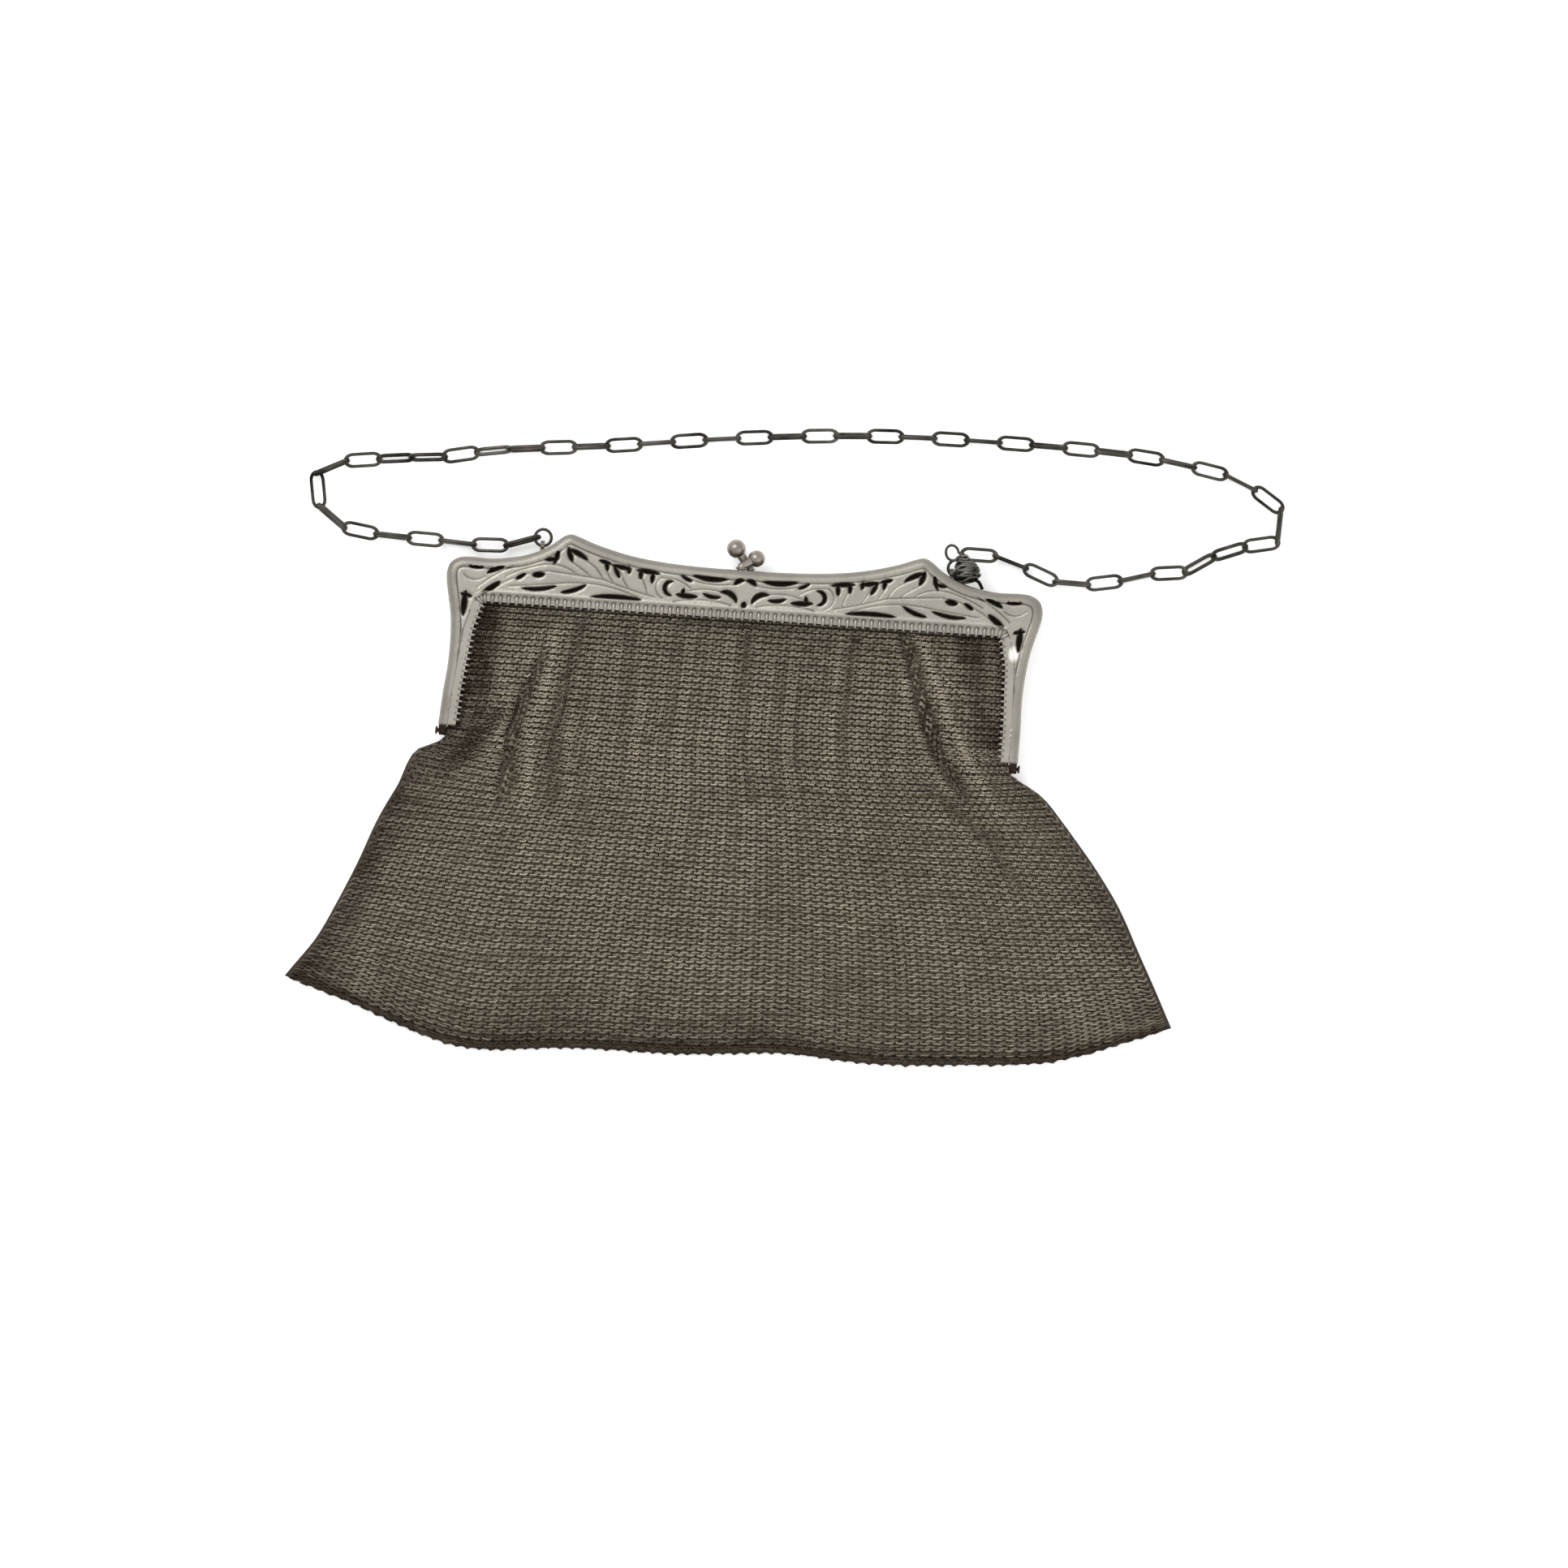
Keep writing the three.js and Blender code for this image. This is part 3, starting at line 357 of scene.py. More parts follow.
# A dark sheet within the bag, painted shade seen through the gaps between the rings: the rings' own rows as
# a bump.
shadeSheetLook = {"clean": (0.33, 0.287, 0.215, 1), "tarnishAndShade": (0.05, 0.038, 0.027, 1), "rowScale": 195,
              "distortion": 1.2, "bump": 0.5, "rough": (0.6, 0.9), "metallic": 0.35}
paintedShadeSheet = bpy.data.materials.new("paintedShadeSheet")
paintedShadeSheet.use_nodes = True
insideTree = paintedShadeSheet.node_tree
insideShader = insideTree.nodes["Principled BSDF"]
insideTone = placeGroup(insideTree, patinaAndShade, {"Clean": shadeSheetLook["clean"], "Tarnish And Shade": shadeSheetLook["tarnishAndShade"],
                                             "Cloud Scale": 60, "Clouds": 0.2, "Depth": 1.0})
insideTree.links.new(insideTone.outputs["Color"], insideShader.inputs["Base Color"])
rowWave = insideTree.nodes.new("ShaderNodeTexWave")
rowWave.bands_direction = "Y"
rowWave.inputs["Scale"].default_value = shadeSheetLook["rowScale"]
rowWave.inputs["Distortion"].default_value = shadeSheetLook["distortion"]
insideCoordinates = insideTree.nodes.new("ShaderNodeTexCoord")
insideTree.links.new(insideCoordinates.outputs["Object"], rowWave.inputs["Vector"])
insideBump = insideTree.nodes.new("ShaderNodeBump")
insideBump.inputs["Strength"].default_value = shadeSheetLook["bump"]
insideBump.inputs["Distance"].default_value = finish["bumpHeight"]
insideTree.links.new(rowWave.outputs["Fac"], insideBump.inputs["Height"])
insideTree.links.new(insideBump.outputs["Normal"], insideShader.inputs["Normal"])
insideRough = insideTree.nodes.new("ShaderNodeMapRange")
insideRough.inputs["To Min"].default_value = shadeSheetLook["rough"][0]
insideRough.inputs["To Max"].default_value = shadeSheetLook["rough"][1]
insideTree.links.new(rowWave.outputs["Fac"], insideRough.inputs["Value"])
insideTree.links.new(insideRough.outputs["Result"], insideShader.inputs["Roughness"])
insideShader.inputs["Metallic"].default_value = shadeSheetLook["metallic"]
print("stage: materials")


# Mesh helpers.

def makePiece(name, points, faces, material, replaced=(), shade=None, sharp=None):
    mesh = bpy.data.meshes.new(name)
    mesh.from_pydata(inMetres(leaned(points)), [], faces if isinstance(faces, list) else faces.tolist())
    mesh.materials.append(material)
    mesh.shade_smooth()
    if sharp:
        mesh.set_sharp_from_angle(angle=math.radians(sharp))
    if shade is not None:
        layer = mesh.attributes.new("shade", "FLOAT", "POINT")
        layer.data.foreach_set("value", np.asarray(shade, dtype=np.float32))
    piece = bpy.data.objects.new(name, mesh)
    bpy.context.scene.collection.objects.link(piece)
    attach(piece, "root")
    if replaced:
        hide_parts(*replaced)
    return piece


def joinParts(parts):
    points, faces, offset = [], [], 0
    for somePoints, someFaces in parts:
        points.extend(somePoints)
        faces.extend([[i + offset for i in face] for face in someFaces])
        offset += len(somePoints)
    return points, faces


def unit(vector):
    return vector / np.linalg.norm(vector, axis=-1, keepdims=True)


# A round wire along a path. up keeps its sections steady; radius may be one number or one for each point.
def wire(path, radius, sides=8, closed=False, up=(0, 0, 1)):
    path = np.asarray(path, dtype=float)
    count = len(path)
    if closed:
        ahead = unit(np.roll(path, -1, 0) - np.roll(path, 1, 0))
    else:
        ahead = unit(np.gradient(path, axis=0))
    side = unit(np.cross(np.asarray(up, dtype=float), ahead))
    lift = np.cross(ahead, side)
    radii = np.broadcast_to(np.asarray(radius, dtype=float), count)
    angles = 2 * np.pi * np.arange(sides) / sides
    outward = side[:, None] * np.cos(angles)[None, :, None] + lift[:, None] * np.sin(angles)[None, :, None]
    sections = path[:, None] + radii[:, None, None] * outward
    faces = []
    for i in range(count if closed else count - 1):
        j = (i + 1) % count
        for k in range(sides):
            n = (k + 1) % sides
            faces.append([i * sides + k, i * sides + n, j * sides + n, j * sides + k])
    if not closed:
        faces.append(list(range(sides))[::-1])
        faces.append([(count - 1) * sides + k for k in range(sides)])
    return sections.reshape(-1, 3).tolist(), faces


# Faces of a tube of so many sections, with both ends closed.
def tubeFaces(sections, sides):
    faces = [[i + k, i + (k + 1) % sides, i + sides + (k + 1) % sides, i + sides + k]
             for i in range(0, (sections - 1) * sides, sides) for k in range(sides)]
    return faces + [list(range(sides))[::-1], [(sections - 1) * sides + k for k in range(sides)]]


# A turned shape: profile pairs of (distance along the axis, radius).
def turned(start, axis, profile, sides=24):
    axis = unit(np.asarray(axis, dtype=float))
    path = [np.asarray(start, dtype=float) + axis * along for along, radius in profile]
    up = (0, 0, 1) if abs(axis[2]) < 0.9 else (1, 0, 0)
    side = unit(np.cross(np.asarray(up, dtype=float), axis))
    lift = np.cross(axis, side)
    angles = 2 * np.pi * np.arange(sides) / sides
    points = [list(spot + max(radius, 1e-3) * (side * math.cos(a) + lift * math.sin(a)))
              for spot, (along, radius) in zip(path, profile) for a in angles]
    return points, tubeFaces(len(profile), sides)


def ballProfile(radius, steps=14):
    return [(-radius * math.cos(math.pi * i / steps), radius * math.sin(math.pi * i / steps))
            for i in range(steps + 1)]


# Steady curve through table values that never overshoots them.
def easeTable(at, stations, values):
    stations, values = np.asarray(stations, dtype=float), np.asarray(values, dtype=float)
    gaps = np.diff(stations)
    slopes = np.diff(values) / gaps
    bend = np.zeros(len(values))
    same = slopes[1:] * slopes[:-1] > 0
    bend[1:-1][same] = 2 * slopes[1:][same] * slopes[:-1][same] / (slopes[1:] + slopes[:-1])[same]
    bend[0], bend[-1] = slopes[0], slopes[-1]
    at = np.clip(at, stations[0], stations[-1])
    k = np.clip(np.searchsorted(stations, at) - 1, 0, len(gaps) - 1)
    t = (at - stations[k]) / gaps[k]
    return (values[k] * (1 + 2 * t) * (1 - t) ** 2 + bend[k] * gaps[k] * t * (1 - t) ** 2
            + values[k + 1] * t * t * (3 - 2 * t) + bend[k + 1] * gaps[k] * t * t * (t - 1))


# Outline of the frame.

# Right half: share of the half width, share of the crest height above the sewing edge or, where negative,
# of the arm length below it.
outlineTable = [
    (0, 0.663), (0.132, 0.668), (0.265, 0.696), (0.358, 0.739), (0.437, 0.804), (0.517, 0.897),
    (0.57, 0.978), (0.593, 1), (0.617, 0.962), (0.649, 0.853), (0.689, 0.755), (0.742, 0.668),
    (0.795, 0.62), (0.848, 0.592), (0.927, 0.598), (0.96, 0.582), (0.988, 0.51), (1, 0.39), (0.999, 0.25),
    (0.99, 0.08), (0.975, -0.105), (0.967, -0.255), (0.964, -0.465), (0.97, -0.705), (0.9735, -0.9565),
]
armTaper = [(0, 1.8), (0.06, 1.75), (0.225, 1.25), (0.465, 1.05), (0.7, 1), (1, 1)]


def smoothPath(points, steps):
    points = np.asarray(points, dtype=float)
    padded = np.vstack([2 * points[0] - points[1], points, 2 * points[-1] - points[-2]])
    result = []
    for i in range(len(points) - 1):
        a, b, c, d = padded[i:i + 4]
        gaps = [max(np.linalg.norm(q - p), 1e-9) ** 0.5 for p, q in ((a, b), (b, c), (c, d))]
        leave = ((b - a) / gaps[0] - (c - a) / (gaps[0] + gaps[1]) + (c - b) / gaps[1]) * gaps[1]
        arrive = ((c - b) / gaps[1] - (d - b) / (gaps[1] + gaps[2]) + (d - c) / gaps[2]) * gaps[1]
        for t in np.arange(steps) / steps:
            result.append(b + leave * t + (3 * (c - b) - 2 * leave - arrive) * t ** 2
                          + (2 * (b - c) + leave + arrive) * t ** 3)
    result.append(points[-1])
    return np.array(result)


def evenly(path, spacing):
    path = np.asarray(path, dtype=float)
    along = np.concatenate([[0], np.cumsum(np.linalg.norm(np.diff(path, axis=0), axis=1))])
    count = max(2, int(round(along[-1] / spacing)) + 1)
    at = np.linspace(0, along[-1], count)
    return np.stack([np.interp(at, along, path[:, k]) for k in range(path.shape[1])], axis=1)


armLength, crestHeight, armWidth = purse["armLength"], purse["crestHeight"], purse["armWidth"]
rightPoints = [(x * halfWidth, armLength + y * (crestHeight if y > 0 else armLength))
               for x, y in outlineTable]
# From the left arm's end, over the rail, to the right arm's end.
chosenPath = [(-x, y) for x, y in rightPoints[:0:-1]] + rightPoints
outerPath = evenly(smoothPath(chosenPath, 8), 0.8)
armRows = [(y, x) for x, y in rightPoints if y < armLength + crestHeight / 2 and x > halfWidth * 0.9][::-1]


def outerX(y):
    return np.interp(y, *zip(*armRows))


def openingX(y):
    share = (armLength - np.asarray(y, dtype=float)) / armLength
    return outerX(y) - armWidth * np.interp(share, *zip(*armTaper))


def railTop(x):
    rail = [(px, py) for px, py in rightPoints if px < halfWidth * 0.95]
    return np.interp(abs(x), *zip(*rail))


cornerRadius = 1.5


def openingPath(margin):
    rise = np.linspace(outlineTable[-1][1] * armLength + armLength, armLength * 0.94, 20)
    right = [(float(openingX(y)) + margin, y) for y in rise]
    top = right[-1][0]
    right += [(top - cornerRadius / 3, armLength + margin - cornerRadius / 3),
              (top - cornerRadius, armLength + margin)]
    return np.array(right + [(-x, y) for x, y in right[::-1]])


# The bag's surface, shared by its rings and by the dark sheet of painted shade within them.

# Share of the arm length above the hinge; crown and side as shares of the height over a flat bag.
armTable = [
    (0.985, 1, 1), (0.886, 1.05, 0.98), (0.721, 1.1, 0.98), (0.526, 1.12, 0.98), (0.315, 1.1, 0.96),
    (0.135, 1.07, 0.93),
]
# Share of the drop; each end's share of the spread and of the drop; crown, side, share of the hem's waves.
lowerTable = [
    (0.019, 0, -0.01, 0, -0.01, 1.03, 0.76, 0), (0.045, 0, 0.024, 0, 0.024, 1, 0.62, 0),
    (0.077, 0.135, 0.041, 0.135, 0.041, 0.97, 0.4, 0), (0.128, 0.267, 0.071, 0.267, 0.083, 0.92, 0.24, 0),
    (0.218, 0.377, 0.186, 0.399, 0.179, 0.82, 0.15, 0), (0.333, 0.483, 0.31, 0.587, 0.314, 0.7, 0.12, 0),
    (0.462, 0.569, 0.442, 0.73, 0.436, 0.57, 0.1, 0.1),
    (0.603, 0.666, 0.571, 0.851, 0.571, 0.44, 0.085, 0.25),
    (0.744, 0.774, 0.699, 0.961, 0.692, 0.32, 0.07, 0.5),
    (0.885, 0.884, 0.788, 1.028, 0.769, 0.17, 0.035, 0.8), (1, 0.939, 0.831, 1.061, 0.806, 0, 0, 1),
]
hemWaves = [(-0.62, 0.2, 0.073), (0.15, 0.15, -0.026), (0.78, 0.16, 0.038)]
# Both ends of a valley, its width and depth, as shares like the tables above. A negative depth is a ridge.
folds = [
    (-0.65, 0.592, -0.706, 0.236, 0.31, 0.13), (-0.706, 0.236, -0.759, -0.167, 0.31, 0.17),
    (-0.845, 0.85, -0.835, 0.15, 0.5, 0.15), (-0.799, 0.1, -0.931, -0.104, 0.5, 0.18),
    (-0.623, 0.742, -0.644, 0.147, 0.42, -0.09), (-0.644, 0.147, -0.687, -0.162, 0.42, -0.09),
    (-0.535, 0.856, -0.57, 0.258, 0.33, 0.1), (-0.57, 0.258, -0.6, -0.165, 0.36, 0.08),
    (-1.185, -0.353, -1.241, -0.63, 0.45, 0.07), (0.559, 0.9, 0.63, 0.466, 0.3, 0.17),
    (0.63, 0.466, 0.709, 0.06, 0.31, 0.2), (0.709, 0.06, 0.782, -0.08, 0.31, 0.17),
    (0.7, -0.101, 0.874, -0.237, 0.33, 0.09), (0.874, -0.237, 0.966, -0.356, 0.33, 0.07),
    (0.627, 0.838, 0.715, 0.408, 0.38, -0.13), (0.715, 0.408, 0.819, 0.003, 0.38, -0.13),
    (0.819, -0.001, 0.9, -0.131, 0.36, -0.08), (0.78, 0.859, 0.855, 0.279, 0.6, 0.14),
    (0.028, 0.844, 0.073, -0.142, 0.27, 0.05), (0.374, 0.898, 0.374, 0.207, 0.3, 0.045),
    (0.204, 0.772, 0.229, -0.027, 0.25, 0.035), (-0.192, 0.91, -0.196, 0.315, 0.3, 0.035),
]
bag = {
    "foldGain": 0.65, "foldLobe": 0.15, "gather": 0.13, "flare": 0.13, "sideBulge": 0.6,
    "overHinge": (3.9, 4.6, 0.8),  # how far the first rows below the hinge lie over its knuckles
    "ripple": 0.12, "rippleTurns": (0.66, 1.13), "rippleFade": 6, "rippleReach": 30,
    "tuckedFrom": -2, "tuckedOver": 3, "tuckedSide": 0.88, "tuckedBand": 0.08, "mouthBand": 2,
    "mouthFade": 1.5,
}

flatBag = 2 * purse["meshWall"] + purse["hemGap"]
mouthTop = topZ - purse["plate"] - purse["seatGap"]
mouthBottom = purse["plate"] + purse["seatGap"]
pinInner = abs(inLayout(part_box("hinge_pin_right")[0])[0])
hingeHalf = pinInner - purse["seatGap"] - bag["sideBulge"]
meshLow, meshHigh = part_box("mesh_bag")
leftReach, rightReach = abs(inLayout(meshLow)[0]), inLayout(meshHigh)[0]
spread = (leftReach + rightReach - 2 * bag["sideBulge"]) / (0.939 + 1.061) - hingeHalf


def bagRows():
    full = mouthTop - flatBag
    mouthY = armLength + purse["mouthTuck"]
    mouthHalf = float(openingX(armLength * armTable[0][0])) + purse["meshTuck"] - cornerRadius / 2
    rows = [(mouthY, -mouthHalf, mouthY, mouthHalf, mouthY, flatBag + full, flatBag + full, 0)]
    for share, crown, side in armTable:
        y = armLength * share
        half = float(openingX(y)) + purse["meshTuck"]
        rows.append((y, -half, y, half, y, flatBag + crown * full, flatBag + side * full, 0))
    drop = purse["bagDrop"]
    for i, (down, leftOut, leftDown, rightOut, rightDown, crown, side, waves) in enumerate(lowerTable):
        over = bag["overHinge"][i] if i < len(bag["overHinge"]) else 0
        rows.append((-down * drop, -hingeHalf - over - leftOut * spread, -leftDown * drop,
                     hingeHalf + over + rightOut * spread, -rightDown * drop,
                     flatBag + crown * full, flatBag + side * full, waves))
    return np.array(rows)


rowTable = bagRows()
rowStations = (rowTable[0, 0] - rowTable[:, 0]) / (rowTable[0, 0] - rowTable[-1, 0])


def foldEnd(x, y):
    return np.array([x * halfWidth, y * (armLength if y > 0 else purse["bagDrop"])])


def foldDepth(x, y):
    valleys, ridges = np.zeros_like(x), np.zeros_like(x)
    for x0, y0, x1, y1, width, dent in folds:
        a = foldEnd(x0, y0)
        run = foldEnd(x1, y1) - a
        length = np.hypot(*run)
        along = ((x - a[0]) * run[0] + (y - a[1]) * run[1]) / length ** 2
        away = np.abs((x - a[0]) * run[1] - (y - a[1]) * run[0]) / length
        beyond = np.maximum(0, np.maximum(along - 1, -along)) * length
        breadth = width * topZ / 2
        fade = np.exp(-(beyond / (2 * breadth)) ** 2)
        lobe = np.exp(-((away - 2 * breadth) / breadth) ** 2)
        depth = dent * topZ * fade * (np.exp(-(away / breadth) ** 2) - bag["foldLobe"] * lobe)
        valleys, ridges = np.maximum(valleys, depth), np.minimum(ridges, depth)
    return valleys + ridges


# Places on the bag: across from -1 to 1, down from 0 at the mouth to 1 at the hem.
def bagSurface(across, down, front):
    values = [easeTable(down, rowStations, rowTable[:, k]) for k in range(8)]
    yMiddle, leftX, leftY, rightX, rightY, crown, side, waves = values
    reach = np.linspace(-bag["flare"], bag["flare"], 9)
    leftFlare, rightFlare = (sum(easeTable(down + r, rowStations, rowTable[:, k]) for r in reach)
                             / len(reach) for k in (1, 3))
    gathered = across + bag["gather"] * (1 - down) * (across - across ** 3)
    left = gathered < 0
    endX, endY = np.where(left, leftX, rightX), np.where(left, leftY, rightY)
    flareX = np.where(left, leftFlare, rightFlare)
    edgeward = np.abs(gathered) ** 3
    wave = sum(-drop * purse["bagDrop"] * np.exp(-((gathered - middle) / width) ** 2)
               for middle, width, drop in hemWaves)
    x = flareX * np.abs(gathered) + (endX - flareX) * np.abs(gathered) ** 7
    y = yMiddle + (endY - yMiddle) * edgeward + waves * wave * (1 - edgeward)
    nearFrame = np.clip((y - bag["tuckedFrom"]) / bag["tuckedOver"], 0, 1)
    nearFrame = nearFrame * np.clip((np.abs(gathered) - bag["tuckedSide"]) / bag["tuckedBand"], 0, 1)
    nearFrame = np.maximum(nearFrame, np.clip((y - armLength + bag["mouthBand"]) / bag["mouthFade"], 0, 1))
    if not front:
        return np.stack([x, y, mouthBottom * nearFrame], axis=-1), np.zeros_like(x)
    dent = foldDepth(x, y) * bag["foldGain"] * (1 - edgeward ** 4)
    hang = np.clip((armLength - y) / bag["rippleFade"], 0, 1) * (1 - edgeward)
    hang = hang * np.exp(-np.maximum(-y, 0) / bag["rippleReach"])
    broad, fine = bag["rippleTurns"]
    dent += bag["ripple"] * hang * (np.sin(x * broad + 0.8) + 0.7 * np.sin(x * fine + y * 0.02))
    z = np.maximum(flatBag, crown + (side - crown) * edgeward - dent)
    z = np.where(nearFrame > 0, np.minimum(z, mouthTop + (1 - nearFrame) * 2), z)
    return np.stack([x, y, z], axis=-1), dent


# Ring mesh.

rings = {
    "columns": 73, "rows": 139, "wire": 0.345, "lean": 34, "edge": 0.985, "sink": 0.95, "lowest": 0.02,
    "wideShare": 0.47, "wideExtra": 0.12, "sideCut": 0.25, "sideFrom": 0.97, "sideOver": 0.02,
    "scatter": 0.05, "leanScatter": 6, "turnScatter": 5, "raggedRows": 1.5, "ragged": 0.4,
    "streak": 0.07, "streakRings": 6, "speckle": 0.08, "shade": 0.3, "foldShade": 0.47,
    "leftShade": 0.5, "rightShade": 0.3, "hemShade": 0.45, "topShade": 0.3, "armShade": 0.6,
    "lastRowShade": 0.28,
}
# Where each part's shade starts, and the stretch over which it grows, as shares across or down the bag.
shadeBands = {"edge": (0.8, 0.2), "arm": (0.34, 0.04), "hem": (0.72, 0.28), "lastRow": (0.965, 0.02),
              "top": (0.12, 0.12), "insideEdge": (0.95, 0.04), "insideHem": (0.975, 0.02)}


def band(name, places, rising=True):
    start, over = shadeBands[name]
    return np.clip((places - start if rising else start - places) / over, 0, 1)


def ringSheet(front, sides):
    columns, rows = rings["columns"], rings["rows"]
    row, column = np.meshgrid(np.arange(rows), np.arange(columns), indexing="ij")
    down = ((row + 0.5) / (rows + 0.6)).ravel()
    across = ((column + 0.25 + 0.5 * (row % 2)) / columns * 2 - 1).ravel()
    across = np.clip(across, -1, 1) * rings["edge"]
    flip = np.where(row.ravel() % 2 == 0, 1.0, -1.0)
    centre, dent = bagSurface(across, down, front)
    step = 1e-3
    beside = [np.clip(across + way * step, -1, 1) for way in (-1, 1)]
    aboveBelow = [np.clip(down + way * step, 0, 1) for way in (-1, 1)]
    left, right = (bagSurface(place, down, front)[0] for place in beside)
    upper, lower = (bagSurface(across, place, front)[0] for place in aboveBelow)
    pitch = np.linalg.norm(right - left, axis=1) / (beside[1] - beside[0]) * 2 / columns
    rowStep = np.linalg.norm(upper - lower, axis=1) / (aboveBelow[1] - aboveBelow[0]) / rows
    along, hang = unit(right - left), unit(upper - lower)
    normal = unit(np.cross(along, hang))
    if not front:
        normal = -normal
    centre = centre - normal * rings["sink"]
    count = len(across)
    centre += dice.normal(0, rings["scatter"], (count, 3))
    loose = np.clip((down * rows - (rows - rings["raggedRows"])) / rings["raggedRows"], 0, 1)
    centre -= hang * (loose * dice.uniform(-0.2, 1, count) * rings["ragged"])[:, None]
    lean = np.radians(rings["lean"] + dice.normal(0, rings["leanScatter"], count)) * flip
    turn = np.radians(dice.normal(0, rings["turnScatter"], count))
    wide = along * np.cos(turn)[:, None] + hang * np.sin(turn)[:, None]
    tall = hang * np.cos(turn)[:, None] - along * np.sin(turn)[:, None]
    tall = tall * np.cos(lean)[:, None] + normal * np.sin(lean)[:, None]
    through = np.cross(wide, tall)
    nearSide = np.clip((np.abs(across) - rings["sideFrom"]) / rings["sideOver"], 0, 1)
    halfWide = (rings["wideShare"] * pitch + rings["wideExtra"] - rings["sideCut"] * nearSide)[:, None]
    halfTall = (rowStep / math.cos(math.radians(rings["lean"])) / math.cos(math.pi / sides))[:, None]
    angle = np.pi / 2 + 2 * np.pi * (np.arange(sides) + 0.5) / sides
    spin = 2 * np.pi * np.arange(3) / 3
    points = np.empty((count, sides, 3, 3))
    for j, a in enumerate(angle):
        spot = centre + wide * halfWide * math.cos(a) + tall * halfTall * math.sin(a)
        outward = wide * math.cos(a) + tall * math.sin(a)
        for k, b in enumerate(spin):
            points[:, j, k] = spot + rings["wire"] * (outward * math.cos(b) + through * math.sin(b))
    points[..., 2] = np.maximum(points[..., 2], rings["lowest"])
    j, k = np.meshgrid(np.arange(sides), np.arange(3), indexing="ij")
    nextJ, nextK = (j + 1) % sides, (k + 1) % 3
    quads = np.stack([j * 3 + k, nextJ * 3 + k, nextJ * 3 + nextK, j * 3 + nextK], axis=-1).reshape(-1, 4)
    # Darker towards the side edges and towards the hem; more so beside the arms, as painted shadow of the
    # frame.
    edge = band("edge", np.abs(across)) ** 2 * np.where(across < 0, rings["leftShade"], rings["rightShade"])
    edge *= 1 + rings["armShade"] * band("arm", down, False)
    bottom = band("hem", down) ** 3 * rings["hemShade"] + band("lastRow", down) * rings["lastRowShade"]
    knots = dice.normal(0, rings["streak"], (rows, columns // rings["streakRings"] + 3))
    streak = np.array([np.interp(np.arange(columns) / rings["streakRings"] + dice.uniform(0, 1),
                                 np.arange(knots.shape[1]), line) for line in knots]).ravel()
    # Painted shadow under the frame's top edge.
    top = band("top", down, False) ** 1.5 * rings["topShade"]
    # Painted shade in the folds' creases and painted highlights on their ridges, where dent is negative.
    shade = rings["shade"] + dent * rings["foldShade"] + edge + bottom + top + streak
    shade += dice.normal(0, rings["speckle"], count)
    return points.reshape(count, -1, 3), quads, np.clip(shade, 0, 1), row.ravel()


def ringPieces(label, front, sides, replaced):
    points, quads, shade, row = ringSheet(front, sides)
    half = rings["rows"] // 2
    for part, first, last in (("upper", 0, half), ("lower", half, rings["rows"])):
        chosen = (row >= first) & (row < last)
        some = points[chosen]
        size = some.shape[1]
        faces = (quads[None] + (np.arange(len(some)) * size)[:, None, None]).reshape(-1, 4)
        makePiece(f"{label}_{part}", some.reshape(-1, 3), faces, meshMetal,
                  replaced=replaced, shade=np.repeat(shade[chosen], size))


ringPieces("ring_mesh_front", True, 6, ("mesh_bag",))
ringPieces("ring_mesh_back", False, 5, ("mesh_bag",))

# A dark sheet a little within the rings, painted shade seen through their gaps.
inside = {"across": 60, "down": 60, "depth": 1.35}
acrossGrid, downGrid = np.meshgrid(np.linspace(-1, 1, inside["across"]),
                                   np.linspace(0.002, 1, inside["down"]), indexing="xy")
insidePoints = []
for front, shift in ((True, -inside["depth"]), (False, inside["depth"])):
    spots, _ = bagSurface(acrossGrid.ravel(), downGrid.ravel(), front)
    spots[:, 2] += shift
    insidePoints.append(spots)
insidePoints[0][:, 2] = np.maximum(insidePoints[0][:, 2], insidePoints[1][:, 2] + 0.1)
wide, tall = inside["across"], inside["down"]
grid = np.arange(wide * tall).reshape(tall, wide)
insideFaces = []
for i in range(tall - 1):
    for j in range(wide - 1):
        a, b, c, d = grid[i, j], grid[i, j + 1], grid[i + 1, j + 1], grid[i + 1, j]
        insideFaces += [[int(d), int(c), int(b), int(a)], [int(v) + wide * tall for v in (a, b, c, d)]]
rim = [int(v) for v in (*grid[0], *grid[1:, -1], *grid[-1, -2::-1], *grid[-2:0:-1, 0])]
for a, b in zip(rim, rim[1:] + rim[:1]):
    insideFaces.append([a, b, b + wide * tall, a + wide * tall])
insideShade = band("insideEdge", np.abs(acrossGrid)) + band("insideHem", downGrid)
insideShade = np.tile(np.clip(insideShade.ravel(), 0, 1), 2)
makePiece("painted_shade_inside", np.vstack(insidePoints), insideFaces, paintedShadeSheet,
          replaced=("mesh_bag",), shade=insideShade)
print("stage: ring mesh")


# Pierced face of the front half.

